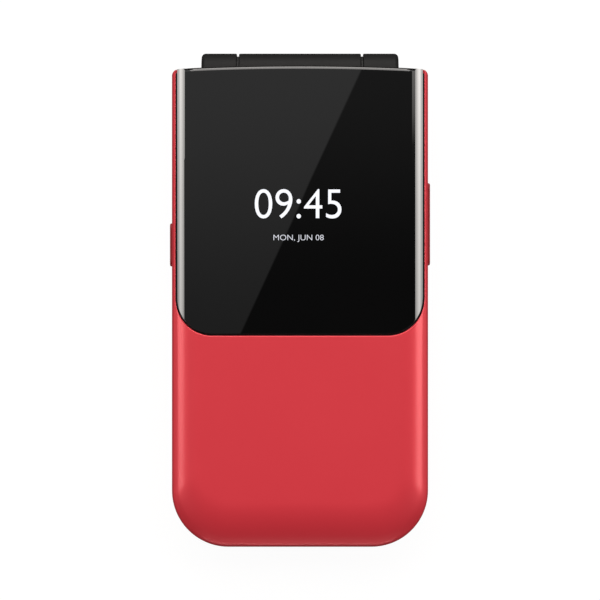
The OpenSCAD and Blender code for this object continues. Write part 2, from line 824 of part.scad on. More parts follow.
module rear_housing() {
    color("#c93e47") difference() {
        base_form();
        difference() {
            cover_zone(fit);
            form(cover_t + fit);
        }
        // room for the board
        intersection() {
            form(base_wall);
            slab(floor_z, z_frame + 1, base_wall);
            translate([-far, -far, 0]) cube([2 * far, far + y_cavity, z_top]);
        }
        // room below the board at both ends
        intersection() {
            form(z_back_floor);
            block(0, (y_cover + 1 + y_cavity) / 2, body_w, y_cavity - y_cover - 1, 0, z_frame);
        }
        intersection() {
            form(base_wall + 0.8);
            block(0, y_end + battery_up / 2 - 1, 2 * (jack_x + 6), battery_up - 2.4, 2.6, z_frame);
        }
        // slot for the flexible circuit
        block(base_flex_x, y_cavity, base_flex_w + 0.6, 2 * barrel_r, base_flex_z - 0.15, base_flex_z + 0.3);
        // battery bay, open to the back
        round_block(0, battery_y, battery_w + 2 * bay_gap, battery_l + 2 * bay_gap, -1, z_bay_roof, 1);
        block(0, battery_y + battery_l / 2 + 1.2, 10.4, 3, z_bay_roof - 3.6, floor_z + eps);
        block(0, sim_y, sim_w + 1, sim_l + 1, z_bay_roof - 1, floor_z + 1);
        // sockets in the bottom end
        translate([-jack_x, y_end - 1, jack_z]) rotate([-90, 0, 0]) cylinder(r = jack_nose_r + 0.1, h = 5);
        translate([0, y_end, z_usb + usb_h / 2]) rotate([90, 0, 0]) linear_extrude(8, center = true)
            round_plan(usb_w + 0.6, usb_h + 0.6, 0.8);
        // side keys
        side_key_slot(1, volume_y, volume_l);
        side_key_slot(-1, emergency_y, emergency_l);
        // camera, flash and loudspeaker
        translate([0, camera_y, -1]) cylinder(r = camera_r + fit, h = 1 + 0.8 + fit);
        translate([0, camera_y, -1]) cylinder(r = camera_r - 0.8, h = 4);
        translate([flash_x, camera_y, -1]) cylinder(r = flash_r + fit, h = 4);
        for (i = [-3 : 3])
            round_block(speaker_x + i * slot_pitch, camera_y, slot_w_back, speaker_l - 3 - abs(i),
                        -1, 3, slot_w_back / 2 - eps);
        // screw wells
        at_places(base_screw_places) {
            translate([0, 0, -1]) cylinder(r = screw_head_r + 0.2, h = z_bay_roof + 1);
            translate([0, 0, -1]) cylinder(r = screw_r + fit, h = z_frame, $fn = 24);
        }
    }
}

// opening in the side wall, with room inside it for the key's flange and its travel
module side_key_slot(side, y, l) {
    room = side_flange_t + side_travel + 0.15;
    translate([side * half_w, y, side_z]) rotate([0, 90, 0])
        linear_extrude(6, center = true) round_plan(side_key_h + 2 * key_gap, l + 2 * key_gap, 1.2);
    block(side * (half_w - base_wall - room / 2), y, room, l + 2 * (side_flange + key_gap),
          side_z - side_key_h / 2 - side_flange - key_gap, z_frame);
}

// key that slides in through the side wall
module side_key(side, y, l) {
    wall_in = half_w - base_wall - fit;
    translate([0, y, side_z]) {
        translate([side > 0 ? wall_in - side_flange_t : -half_w - side_proud, 0, 0]) rotate([0, 90, 0])
            linear_extrude(half_w + side_proud - wall_in + side_flange_t) round_plan(side_key_h, l, 1.1);
        translate([side * (wall_in - side_flange_t / 2), 0, 0]) rotate([0, 90, 0])
            linear_extrude(side_flange_t, center = true)
                round_plan(side_key_h + 2 * side_flange, l + 2 * side_flange, 0.6);
    }
}

module volume_key() {
    color("#b52f38") side_key(1, volume_y, volume_l);
}

module emergency_key() {
    color("#b52f38") side_key(-1, emergency_y, emergency_l);
}

module side_switches() {
    x1 = half_w - base_wall - fit - side_flange_t - side_travel - 0.03;
    color("#77787c") for (p = switch_places) {
        block(p[0] * (x1 - 0.9), p[1], 1.2, 3.4, z_board - 1.5, z_board);
        block(p[0] * (x1 - 0.2), p[1], 0.4, 1.4, z_board - 1.2, z_board - 0.4);
    }
}

module battery() {
    z1 = z_bay_roof - fit;
    color("#3a3c40") round_block(0, battery_y, battery_w, battery_l, z1 - battery_t, z1, 1);
}

module battery_contacts() {
    y0 = battery_y + battery_l / 2 + bay_gap;
    color("#caa54a") {
        block(0, y0 + 1.1, 9.6, 2, z_bay_roof - 3.2, z_board);
        for (x = [-3, 0, 3])
            block(x, y0 - 0.05, 1, 0.4, z_bay_roof - 2.8, z_bay_roof - 0.6);
    }
}

module board_outline(z0, z1, inset) {
    intersection() {
        slab(z0, z1, inset);
        translate([-far, -far, 0]) cube([2 * far, far + y_cavity - 0.4, z_top]);
    }
}

module main_board() {
    color("#1f6b3a") difference() {
        board_outline(z_board, z_board_top, base_wall + 1.2);
        at_places(base_screw_places)
            translate([0, 0, z_board - 1]) cylinder(r = screw_r + 0.3, h = 3, $fn = 24);
    }
}

module dome_sheet() {
    color("#9aa0a6") difference() {
        union() {
            board_outline(z_board_top, z_board_top + dome_base, base_wall + 3);
            for (key = flat_keys) dome(key[1], key[2]);
            dome(0, ring_y);
            for (turn = [0 : 90 : 270])
                translate([0, ring_y, 0]) rotate([0, 0, turn]) dome_at(ring_r * 0.74);
        }
        block(0, mic_y, mic_w + 1.2, mic_l + 1, z_board_top - 1, z_board_top + 2);
        at_places(base_screw_places)
            translate([0, 0, z_board_top - 1]) cylinder(r = screw_head_r + 0.5, h = 3, $fn = 24);
    }
}

module dome(x, y) {
    translate([x, y, z_board_top + dome_base - eps])
        cylinder(r1 = dome_r, r2 = dome_r / 2, h = dome_h + eps, $fn = 32);
}

module dome_at(x) {
    translate([x, 0, z_board_top + dome_base - eps]) cylinder(r1 = 1.5, r2 = 0.8, h = dome_h + eps, $fn = 32);
}

module shield_can() {
    color("#b5b7ba") difference() {
        block(0, shield_y, shield_w, shield_l, floor_z + fit, z_board);
        block(0, shield_y, shield_w - 2 * shield_wall, shield_l - 2 * shield_wall,
              floor_z + fit + shield_wall, z_board + 1);
    }
}

module sim_holder() {
    color("#c0c2c5") difference() {
        block(0, sim_y, sim_w, sim_l, z_bay_roof + fit, z_board);
        block(0, sim_y - 1, sim_w - 1, sim_l, z_bay_roof + 0.3, z_bay_roof + 1.1);
    }
}

module camera_module() {
    color("#1c1c1e") {
        block(0, camera_y, camera_side, camera_side, z_back_floor + 1.2, z_board);
        translate([0, camera_y, 0.9 + fit]) cylinder(r = camera_r - 0.9, h = z_back_floor + 0.5);
    }
}

module camera_window() {
    color("#15171a") translate([0, camera_y, 0.05]) cylinder(r = camera_r, h = 0.8);
}

module flash_led() {
    color("#f1efe2") {
        translate([flash_x, camera_y, 0.05]) cylinder(r = flash_r, h = z_back_floor + 0.3);
        block(flash_x, camera_y, flash_board, flash_board, z_back_floor + fit, z_board);
    }
}

module loudspeaker() {
    color("#2e2f31") {
        round_block(speaker_x, camera_y, speaker_w, speaker_l, z_speaker, z_speaker + speaker_t, 1);
        block(speaker_x, camera_y, speaker_t, speaker_t, z_speaker + speaker_t - eps, z_board);
    }
}

module speaker_mesh() {
    color("#4a4b4d") difference() {
        round_block(speaker_x, camera_y, speaker_w - 2, speaker_l - 1.4, z_back_floor, z_speaker, 1);
        for (i = [-5 : 5]) for (j = [-3 : 3])
            translate([speaker_x + i, camera_y + j, 0]) cylinder(r = 0.2, h = 3, $fn = 16);
    }
}

module vibration_motor() {
    weight_l = 2;
    translate([motor_x, camera_y + 2.4, z_back_floor + motor_r]) rotate([0, 90, 0]) {
        color("#a7a9ac") cylinder(r = motor_r, h = motor_l);
        color("#a7a9ac") cylinder(r = 0.5, h = motor_l + weight_l + 0.7, $fn = 24);
        color("#7d7d80") translate([0, 0, motor_l + 0.7]) difference() {
            cylinder(r = motor_r - 0.2, h = weight_l);
            translate([-far, 0, -1]) cube([2 * far, far, weight_l + 2]);
        }
    }
}

module charging_socket() {
    y0 = y_end + 0.5;
    color("#b9bbbe") translate([0, y0 + usb_l / 2, 0]) difference() {
        block(0, 0, usb_w, usb_l, z_usb, z_board);
        difference() {
            block(0, -1, usb_w - 0.6, usb_l, z_usb + 0.3, z_board - 0.3);
            block(0, 0.5, 4.4, usb_l - 1, z_usb + 1, z_usb + 1.5);
        }
    }
}

module headset_jack() {
    y0 = y_end + 0.5;
    color("#1d1d1f") translate([-jack_x, y0, jack_z]) difference() {
        union() {
            rotate([-90, 0, 0]) cylinder(r = jack_nose_r, h = jack_l);
            block(0, jack_l / 2 + 1.6, 2 * jack_nose_r + 0.8, jack_l - 3.2, -jack_nose_r, jack_nose_r);
        }
        translate([0, -1, 0]) rotate([-90, 0, 0]) cylinder(r = jack_r, h = jack_l);
    }
}

module microphone() {
    color("#c9b26b") block(0, mic_y, mic_w, mic_l, z_board_top, z_frame - 0.1);
}

module antenna() {
    color("#b07f3a") intersection() {
        form(base_wall + 1);
        block(half_w - 14.7, y_end + antenna_l, antenna_w, antenna_l, z_board - antenna_t, z_board - fit);
    }
}

module base_screws() {
    color("#8b8b8e") at_places(base_screw_places) {
        translate([0, 0, z_bay_roof - screw_head_h]) cylinder(r = screw_head_r, h = screw_head_h, $fn = 24);
        translate([0, 0, z_bay_roof - screw_head_h])
            cylinder(r = screw_r, h = z_frame - z_bay_roof + screw_head_h, $fn = 24);
    }
}

lid_shell();
lid_panel();
outer_display();
lid_board();
main_display();
display_window();
lid_bezel();
earpiece();
earpiece_mesh();
lid_bumpers();
lid_magnet();
lid_screws();
hinge_cartridge();
hinge_spring();
hinge_shaft();
hinge_sleeve();
lid_flex();
base_flex();
keypad_frame();
rear_housing();
battery_cover();
battery();
battery_contacts();
main_board();
dome_sheet();
shield_can();
sim_holder();
side_switches();
camera_module();
camera_window();
flash_led();
loudspeaker();
speaker_mesh();
vibration_motor();
charging_socket();
headset_jack();
microphone();
antenna();
base_screws();
named_key("key_1");  // key_1
named_key("key_2");  // key_2
named_key("key_3");  // key_3
named_key("key_4");  // key_4
named_key("key_5");  // key_5
named_key("key_6");  // key_6
named_key("key_7");  // key_7
named_key("key_8");  // key_8
named_key("key_9");  // key_9
named_key("key_star");  // key_star
named_key("key_0");  // key_0
named_key("key_hash");  // key_hash
named_key("soft_key_left");  // soft_key_left
named_key("soft_key_right");  // soft_key_right
named_key("call_key");  // call_key
named_key("clear_key");  // clear_key
named_key("end_key");  // end_key
navigation_ring();
centre_key();
volume_key();
emergency_key();
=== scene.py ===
import bmesh
import bpy
import math
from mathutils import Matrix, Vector


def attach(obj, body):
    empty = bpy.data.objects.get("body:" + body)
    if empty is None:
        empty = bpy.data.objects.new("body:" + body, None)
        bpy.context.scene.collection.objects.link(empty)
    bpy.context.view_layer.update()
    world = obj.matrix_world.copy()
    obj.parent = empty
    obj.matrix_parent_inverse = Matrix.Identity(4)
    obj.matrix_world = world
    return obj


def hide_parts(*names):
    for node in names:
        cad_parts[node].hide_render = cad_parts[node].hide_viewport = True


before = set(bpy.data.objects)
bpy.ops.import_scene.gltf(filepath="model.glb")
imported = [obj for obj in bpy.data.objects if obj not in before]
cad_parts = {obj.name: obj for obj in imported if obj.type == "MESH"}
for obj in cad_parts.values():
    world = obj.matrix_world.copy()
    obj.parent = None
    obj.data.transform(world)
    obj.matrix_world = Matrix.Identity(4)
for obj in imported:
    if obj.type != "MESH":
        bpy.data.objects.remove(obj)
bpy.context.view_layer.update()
print("frame loaded,", len(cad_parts), "nodes")

mm = 0.001

# the closed phone, in mm: what a user would change goes together with part.scad
phone = {
    "halfWidth": 27.2, "bottomEnd": -52.4, "lidEnd": 49.5, "baseEnd": 48.2,
    "cornerRadius": 12.0, "cornerSteps": 28, "shoulder": 1.5, "arch": 0.65,
    "top": 18.7, "shellLow": 13.4, "lidLow": 13.0, "deck": 12.6, "seam": 11.4,
    "endRun": 9.6, "lidShrink": 0.03, "deckShrink": 0.06,
}
allX, allY = (-40, 40), (-60, 60)    # past the phone on every side, for cutters
farEnd = 58                          # past the hinge end


def evenSteps(low, high, count):
    return [low + (high - low) * k / count for k in range(count + 1)]


# how a face rolls over into the side: a tight arc from the wall, then a wide one to the flat, with the angle
# where they meet and the angles of the strips, which stay clear of the rims that are rounded later
lidRoll = {"tight": 2.987, "wide": 7.2, "split": 47,
           "angles": [0, 7, 14, 20, 26, 33, 50] + evenSteps(54, 90, 9)}
panelRoll = dict(lidRoll, angles=evenSteps(0, 36, 3) + evenSteps(46.6, 90, 14))
backRoll = {"tight": 6.0, "wide": 6.0, "split": 45, "angles": evenSteps(0, 90, 15)}
# reach and openRise are how far the open lid comes past the axis, along and across it
hinge = {"y": 47.8, "z": 12.8, "radius": 4.6, "gap": 0.15, "roomHalf": 21.35, "barrelHalf": 12.95,
         "barrelBore": 3.05, "knuckle": (13.4, 20.9), "boreX": (12, 19.7), "boreLeft": 2.65,
         "boreRight": 2.15, "innerEdge": 0.25, "outerEdge": 0.9, "webY": (42.2, 46.8), "washerBore": 3.2,
         "washerInset": 0.6, "washerAir": 0.02, "washerEdge": 0.08, "openAngle": 160, "reach": 1.7,
         "openRise": 6.05}


def startFresh():
    if bpy.context.object and bpy.context.object.mode != "OBJECT":
        bpy.ops.object.mode_set(mode="OBJECT")
    bpy.ops.object.select_all(action="DESELECT")


def activate(piece):
    startFresh()
    piece.select_set(True)
    bpy.context.view_layer.objects.active = piece


def settle():
    piece = bpy.context.object
    bpy.ops.object.transform_apply(location=True, rotation=True, scale=True)
    return piece


def addBlock(x, y, z):    # each of x, y and z is (low, high) in mm
    startFresh()
    place = [(low + high) / 2 * mm for low, high in (x, y, z)]
    bpy.ops.mesh.primitive_cube_add(size=1, location=place)
    bpy.context.object.scale = [(high - low) * mm for low, high in (x, y, z)]
    return settle()


def addCylinder(radius, ends, place, sides, turn=(0, 0, 0)):    # ends lie along its own axis
    startFresh()
    bpy.ops.mesh.primitive_cylinder_add(vertices=sides, radius=radius * mm, depth=(ends[1] - ends[0]) * mm,
                                        location=[value * mm for value in place], rotation=turn)
    return settle()


def addDisc(radius, x, y, z, sides=96):    # stands upright, z is (low, high)
    return addCylinder(radius, z, (x, y, (z[0] + z[1]) / 2), sides)


def addRod(radius, x, y, z, sides=128):    # lies along X, x is (low, high)
    return addCylinder(radius, x, ((x[0] + x[1]) / 2, y, z), sides, (0, math.pi / 2, 0))


def addPin(radius, x, y, z, sides):    # lies along Y, y is (low, high)
    return addCylinder(radius, y, (x, (y[0] + y[1]) / 2, z), sides, (math.pi / 2, 0, 0))


def hingeRod(radius, ends):
    return addRod(radius, ends, hinge["y"], hinge["z"])


def hingeRoomTool():    # the room in which the barrel and the knuckles turn
    return hingeRod(hinge["radius"] + hinge["gap"], (-hinge["roomHalf"], hinge["roomHalf"]))


def copyOf(piece):
    startFresh()
    twin = piece.copy()
    twin.data = piece.data.copy()
    bpy.context.scene.collection.objects.link(twin)
    return twin


def pick(piece, kind, wanted):    # selects by place or normal and stays in edit mode
    if piece.mode != "EDIT":
        activate(piece)
        bpy.ops.object.mode_set(mode="EDIT")
    bpy.ops.mesh.select_mode(type=kind)
    bpy.ops.mesh.select_all(action="DESELECT")
    mesh = bmesh.from_edit_mesh(piece.data)
    for part in {"VERT": mesh.verts, "EDGE": mesh.edges, "FACE": mesh.faces}[kind]:
        if wanted(part):
            part.select_set(True)
    mesh.select_flush_mode()
    bmesh.update_edit_mesh(piece.data)


def runsAlong(edge, axis):
    step = edge.verts[1].co - edge.verts[0].co
    return abs(step[axis]) > 0.999 * step.length


def middle(part):
    return sum((v.co for v in part.verts), Vector()) / len(part.verts) / mm


def leaveEdit():
    bpy.ops.object.mode_set(mode="OBJECT")


def roundEdges(piece, width, steps, wanted):
    pick(piece, "EDGE", wanted)
    bpy.ops.mesh.bevel(offset_type="OFFSET", offset=width * mm, segments=steps, affect="EDGES",
                       clamp_overlap=False)
    leaveEdit()


def roundUprights(piece, radius, steps, where=lambda place: True):
    roundEdges(piece, radius, steps, lambda e: runsAlong(e, 2) and where(middle(e)))


def faceOutwards():
    bpy.ops.mesh.select_all(action="SELECT")
    bpy.ops.mesh.normals_make_consistent(inside=False)
    leaveEdit()


def insetFace(piece, border, wanted):    # a face within a face, for a border of its own
    pick(piece, "FACE", wanted)
    bpy.ops.mesh.inset(thickness=border * mm, depth=0)


def applyModifier(piece, kind, **settings):
    activate(piece)
    modifier = piece.modifiers.new(kind.title(), kind)
    for key, value in settings.items():
        setattr(modifier, key, value)
    bpy.ops.object.modifier_apply(modifier=modifier.name)


def cut(piece, *tools, how="DIFFERENCE"):    # uses the tools up
    for tool in tools:
        applyModifier(piece, "BOOLEAN", operation=how, object=tool, solver="EXACT")
        bpy.data.objects.remove(tool)
    return piece


def keepWithin(piece, x, y, z):    # only what lies within the spans stays
    return cut(piece, addBlock(x, y, z), how="INTERSECT")


def joinTo(piece, *others):
    activate(piece)
    for other in others:
        other.select_set(True)
    bpy.ops.object.join()
    return piece


def roundBlock(x, y, width, length, z, radius, steps=8):
    block = addBlock((x - width / 2, x + width / 2), (y - length / 2, y + length / 2), z)
    roundUprights(block, radius, steps)
    return block


def soften(piece, width, steps, wanted):    # wanted looks at an edge's middle and its two face normals
    sharp = math.radians(40)
    roundEdges(piece, width, steps, lambda e: len(e.link_faces) == 2 and e.calc_face_angle(0) > sharp
               and wanted(middle(e), *(f.normal for f in e.link_faces)))


def wallAndFlat(first, second):    # one face stands and the other lies flat
    return min(abs(first.z), abs(second.z)) < 0.75 and max(abs(first.z), abs(second.z)) > 0.9


def level(place, height):
    return abs(place.z - height) < 0.001


def softenRim(piece, width, steps, height, depth=50, end=41):
    # the rim at a height, up to a depth inside the phone's outline and up to a Y near the hinge
    soften(piece, width, steps, lambda p, a, b: level(p, height) and wallAndFlat(a, b)
           and planDepth(p) < depth and p.y < end)


def sideSpan(side, x):    # a span of X on the right side, or its mirror image on the left
    return sorted((side * x[0], side * x[1]))


def planDepth(place):    # how far a place lies inside the phone's outline seen from above, hinge end apart
    half, radius = phone["halfWidth"], phone["cornerRadius"]
    xCorner, yCorner = half - radius, phone["bottomEnd"] + radius
    if place.y > yCorner:
        return half - abs(place.x)
    if abs(place.x) < xCorner:
        return place.y - phone["bottomEnd"]
    return radius - math.hypot(abs(place.x) - xCorner, place.y - yCorner)


def finishPiece(piece, name, body, finish, stands=()):    # stands are the solids that it replaces
    piece.name = piece.data.name = name
    activate(piece)
    bpy.ops.object.shade_smooth_by_angle(angle=math.radians(35))
    applyModifier(piece, "WEIGHTED_NORMAL", keep_sharp=True, weight=80)
    piece.data.materials.clear()
    piece.data.materials.append(materials[finish])
    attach(piece, body)
    if stands:
        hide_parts(*stands)


def newSocket(group, name, direction, value=0):
    socket = group.interface.new_socket(name=name, in_out=direction, socket_type="NodeSocketFloat")
    if direction == "INPUT":
        socket.default_value = value


def setInputs(node, values):
    for key, value in values.items():
        node.inputs[key].default_value = value


def maths(tree, operation, *values):    # a value is a number or another node's output
    node = tree.nodes.new("ShaderNodeMath")
    node.operation = operation
    for socket, value in zip(node.inputs, values):
        if isinstance(value, bpy.types.NodeSocket):
            tree.links.new(value, socket)
        else:
            socket.default_value = value
    return node.outputs["Value"]


def ramp(tree, value, stops):    # stops are (place, level) pairs
    node = tree.nodes.new("ShaderNodeValToRGB")
    for k, (at, strength) in enumerate(stops):
        stop = node.color_ramp.elements[k] if k < 2 else node.color_ramp.elements.new(at)
        stop.position, stop.color = at, (strength, strength, strength, 1)
    tree.links.new(value, node.inputs["Fac"])
    return node.outputs["Color"]


# the noises behind every material: a fine one for height, a broad and a streaky one for handling marks
grainLook = {"fine": {"Detail": 2}, "broad": {"Detail": 5, "Roughness": 0.62},
             "streak": {"Detail": 3, "Scale": 400}, "marks": ((0.38, 0), (0.68, 1)),
             "scale": 3000, "broadScale": 60}


def grainGroup():
    group = bpy.data.node_groups.new("mouldGrain", "ShaderNodeTree")
    newSocket(group, "Grain Scale", "INPUT", grainLook["scale"])
    newSocket(group, "Broad Scale", "INPUT", grainLook["broadScale"])
    newSocket(group, "Height", "OUTPUT")
    newSocket(group, "Marks", "OUTPUT")
    nodes, links = group.nodes, group.links
    inputs, outputs = nodes.new("NodeGroupInput"), nodes.new("NodeGroupOutput")
    place = nodes.new("ShaderNodeTexCoord")
    fine, broad, streak = (nodes.new("ShaderNodeTexNoise") for _ in range(3))
    for noise, kind in ((fine, "fine"), (broad, "broad"), (streak, "streak")):
        setInputs(noise, grainLook[kind])
        links.new(place.outputs["Object"], noise.inputs["Vector"])
    links.new(inputs.outputs["Grain Scale"], fine.inputs["Scale"])
    links.new(inputs.outputs["Broad Scale"], broad.inputs["Scale"])
    mask = ramp(group, broad.outputs["Fac"], grainLook["marks"])
    links.new(fine.outputs["Fac"], outputs.inputs["Height"])
    links.new(maths(group, "MULTIPLY", mask, streak.outputs["Fac"]), outputs.inputs["Marks"])
    return group


mouldGrain = grainGroup()


def plastic(name, colour, worn, rough, height=0, grainScale=grainLook["scale"],
            broadScale=grainLook["broadScale"], values=None):
    material = bpy.data.materials.new(name)
    material.use_nodes = True
    nodes, links = material.node_tree.nodes, material.node_tree.links
    shader, grain = nodes["Principled BSDF"], nodes.new("ShaderNodeGroup")
    grain.node_tree = mouldGrain
    setInputs(grain, {"Grain Scale": grainScale, "Broad Scale": broadScale})
    mix = nodes.new("ShaderNodeMix")
    mix.data_type = "RGBA"
    setInputs(mix, {"A": (*colour, 1), "B": (*worn, 1)})
    links.new(grain.outputs["Marks"], mix.inputs["Factor"])
    links.new(mix.outputs["Result"], shader.inputs["Base Color"])
    spread = nodes.new("ShaderNodeMapRange")
    setInputs(spread, {"To Min": rough[0], "To Max": rough[1]})
    links.new(grain.outputs["Marks"], spread.inputs["Value"])
    links.new(spread.outputs["Result"], shader.inputs["Roughness"])
    if height:
        bump = nodes.new("ShaderNodeBump")
        setInputs(bump, {"Distance": height * mm, "Strength": 1})
        links.new(grain.outputs["Height"], bump.inputs["Height"])
        links.new(bump.outputs["Normal"], shader.inputs["Normal"])
    setInputs(shader, values or {})
    return material


def glow(colour, strength):    # a recipe for figures that light up
    return ((0.02, 0.02, 0.02), (0.02, 0.02, 0.02), (0.1, 0.14), 0, 3000, 90,
            {"Emission Color": (*colour, 1), "Emission Strength": strength})


# colour, worn colour, roughness (low, high), grain height in mm, grain scale, broad scale, shader values
recipes = {
    "redSatin": ((0.655, 0.0325, 0.048), (0.665, 0.0345, 0.05), (0.44, 0.49),
                 0.004, 2600, 45, {"Metallic": 0.25, "Specular IOR Level": 0.4, "Coat Weight": 0.3,
                                   "Coat Roughness": 0.22}),
    "redKey": ((0.26, 0.008, 0.011), (0.28, 0.01, 0.013), (0.4, 0.48),
               0.003, 2600, 80, {"Specular IOR Level": 0.3}),
    "panelBlack": ((0.002, 0.002, 0.0021), (0.0026, 0.0026, 0.0026), (0.0, 0.012), 0, 3000, 30, {"IOR": 1.8}),
    "hingeGrey": ((0.0095, 0.0095, 0.0095), (0.0115, 0.0115, 0.0115), (0.5, 0.6),
                  0.003, 4000, 120, {"Specular IOR Level": 0.12}),
    "deckGrey": ((0.016, 0.016, 0.017), (0.02, 0.02, 0.021), (0.32, 0.42),
                 0.004, 3000, 70, {"Specular IOR Level": 0.2}),
    "keyBlack": ((0.022, 0.022, 0.024), (0.03, 0.03, 0.032), (0.28, 0.38),
                 0.003, 3500, 150, {"Specular IOR Level": 0.25}),
    "keySilver": ((0.27, 0.275, 0.29), (0.3, 0.305, 0.32), (0.28, 0.36),
                  0.002, 5000, 120, {"Metallic": 0.85}),
    "legendWhite": ((0.78, 0.78, 0.76), (0.7, 0.7, 0.68), (0.4, 0.5)),
    "legendGreen": ((0.03, 0.45, 0.08), (0.03, 0.4, 0.08), (0.4, 0.5)),
    "legendRed": ((0.6, 0.02, 0.02), (0.55, 0.02, 0.02), (0.4, 0.5)),
    "windowBlack": ((0.004, 0.004, 0.005), (0.006, 0.006, 0.007), (0.03, 0.07), 0, 3000, 40),
    "rubberBlack": ((0.012, 0.012, 0.012), (0.02, 0.02, 0.02), (0.7, 0.85), 0.01, 2500),
    "steel": ((0.55, 0.56, 0.58), (0.45, 0.46, 0.48), (0.22, 0.4), 0.002, 4000, 60, {"Metallic": 1.0}),
    "boardGreen": ((0.012, 0.1, 0.035), (0.02, 0.14, 0.05), (0.3, 0.45), 0.01, 1500, 300),
    "gold": ((0.85, 0.6, 0.25), (0.7, 0.48, 0.2), (0.2, 0.35), 0, 3000, 60, {"Metallic": 1.0}),
    "film": ((0.5, 0.22, 0.04), (0.42, 0.18, 0.03), (0.25, 0.4), 0, 3000, 200),
    "domeFilm": ((0.42, 0.44, 0.47), (0.36, 0.38, 0.4), (0.35, 0.5), 0, 3000, 200),
    "blackPlastic": ((0.012, 0.012, 0.013), (0.018, 0.018, 0.018), (0.35, 0.5), 0.005),
    "batteryWrap": ((0.04, 0.042, 0.05), (0.055, 0.058, 0.065), (0.3, 0.42), 0.01, 900, 50),
    "lensClear": ((0.75, 0.74, 0.66), (0.7, 0.69, 0.6), (0.08, 0.16), 0.02, 1200),
    "ivory": ((0.7, 0.67, 0.58), (0.6, 0.57, 0.5), (0.35, 0.5)),
    "displayGlass": ((0.012, 0.014, 0.018), (0.014, 0.016, 0.02), (0.08, 0.14)),
    "clockWhite": glow((0.93, 0.95, 1.0), 1.05),
    "dateWhite": glow((0.9, 0.92, 1.0), 0.8),
    "paleFloor": ((0.07, 0.07, 0.07), (0.075, 0.075, 0.075), (0.8, 0.9),
                  0, 400, 4, {"Emission Color": (1, 1, 1, 1), "Specular IOR Level": 0}),
}
materials = {name: plastic(name, *recipe) for name, recipe in recipes.items()}
print("materials made:", len(materials))


def rollPoint(roll, inset, angle):    # how far in and how far up the roll is at an angle, from the wall
    tight, wide, split = roll["tight"] - inset, roll["wide"] - inset, math.radians(roll["split"])
    turn = math.radians(angle)
    if turn <= split:
        return tight * (1 - math.cos(turn)), tight * math.sin(turn)
    return (tight * (1 - math.cos(split)) + wide * (math.cos(split) - math.cos(turn)),
            tight * math.sin(split) + wide * (math.sin(turn) - math.sin(split)))


def drawIn(form, up, roll, inset, low, hingeEnd):
    # rolls one face over in steps; the bottom end rolls further than the sides
    pick(form, "FACE", lambda f: f.normal.z * up > 0.9)
    endScale = (phone["endRun"] - inset) / rollPoint(roll, inset, 90)[0]
    for before, now in zip(roll["angles"], roll["angles"][1:]):
        inBefore, upBefore = rollPoint(roll, inset, before)
        inNow, upNow = rollPoint(roll, inset, now)
        inward = inNow - inBefore
        bpy.ops.mesh.inset(thickness=inward * mm, depth=0)
        bpy.ops.transform.translate(value=(0, inward * mm, (upNow - upBefore) * up * mm))
        endBefore, endNow = (low + endScale * run for run in (inBefore, inNow))
        stretch = (hingeEnd - endNow) / (hingeEnd - endBefore - 2 * inward)
        bpy.ops.transform.resize(value=(1, stretch, 1), center_override=(0, hingeEnd * mm, 0))


def phoneForm(inset, hingeEnd, topRoll=lidRoll, shrink=0.0):
    half, low = phone["halfWidth"] - shrink - inset, phone["bottomEnd"] + shrink + inset
    wallTop = phone["top"] - inset - rollPoint(topRoll, inset, 90)[1]
    wallLow = inset + rollPoint(backRoll, inset, 90)[1]
    form = addBlock((-half, half), (low, hingeEnd), (wallLow, wallTop))
    roundUprights(form, phone["cornerRadius"] - shrink - inset, phone["cornerSteps"], lambda p: p.y < 0)
    for up, roll in ((1, topRoll), (-1, backRoll)):
        drawIn(form, up, roll, inset, low, hingeEnd)
    leaveEdit()
    return form


def lidForm(inset, hingeEnd, topRoll=lidRoll):
    return phoneForm(inset, hingeEnd, topRoll, phone["lidShrink"])


def endLine(x, inset=0.0):    # Y of the arched hinge end and its round shoulders
    r = max(phone["shoulder"] - inset, 0.2)
    xShoulder = phone["halfWidth"] - inset - r
    yShoulder = phone["lidEnd"] - inset - phone["arch"] - r
    if abs(x) < xShoulder:
        return phone["lidEnd"] - inset - phone["arch"] * (x / xShoulder) ** 2
    beyond = min(abs(x) - xShoulder, r * 0.999)
    return yShoulder + math.sqrt(r * r - beyond * beyond)


def endCutter(inset=0.0):
    # a grid whose near row is laid on the end line, then extruded through the phone
    side = phone["halfWidth"] - inset
    shoulder = [side - phone["shoulder"] * (1 - math.sin(math.radians(a))) for a in range(0, 90, 9)]
    inner = [side - phone["shoulder"] - 1.5 * k for k in range(1, 17)]
    xs = sorted([s * x for s in (-1, 1) for x in [side + 3, side - 0.001] + shoulder + inner] + [0.0])
    startFresh()
    bpy.ops.mesh.primitive_grid_add(x_subdivisions=len(xs) - 1, y_subdivisions=1, size=1, location=(0, 0, 0))
    cutter = settle()
    columns = sorted({round(v.co.x, 5) for v in cutter.data.vertices})
    for v in cutter.data.vertices:
        x = xs[columns.index(round(v.co.x, 5))]
        y = endLine(x, inset) if v.co.y < 0 else allY[1]
        v.co = (x * mm, y * mm, -2 * mm)
    pick(cutter, "FACE", lambda f: True)
    bpy.ops.mesh.extrude_region_move(TRANSFORM_OT_translate={"value": (0, 0, 25 * mm)})
    faceOutwards()
    return cutter


def openLidRoom():    # the room that the open lid takes at the hinge end
    room = addBlock(allX, (allY[0] + hinge["y"], hinge["y"] + hinge["reach"] + hinge["gap"]),
                    (hinge["z"] - 1, hinge["z"] + hinge["openRise"]))
    angle = math.radians(-hinge["openAngle"])
    pivot = Vector((0, hinge["y"], hinge["z"])) * mm
    for v in room.data.vertices:
        y, z = v.co.y - pivot.y, v.co.z - pivot.z
        v.co.y = pivot.y + y * math.cos(angle) - z * math.sin(angle)
        v.co.z = pivot.z + y * math.sin(angle) + z * math.cos(angle)
    return room


whole = phoneForm(0, phone["lidEnd"] + 1)
print("whole form:", len(whole.data.polygons), "faces")

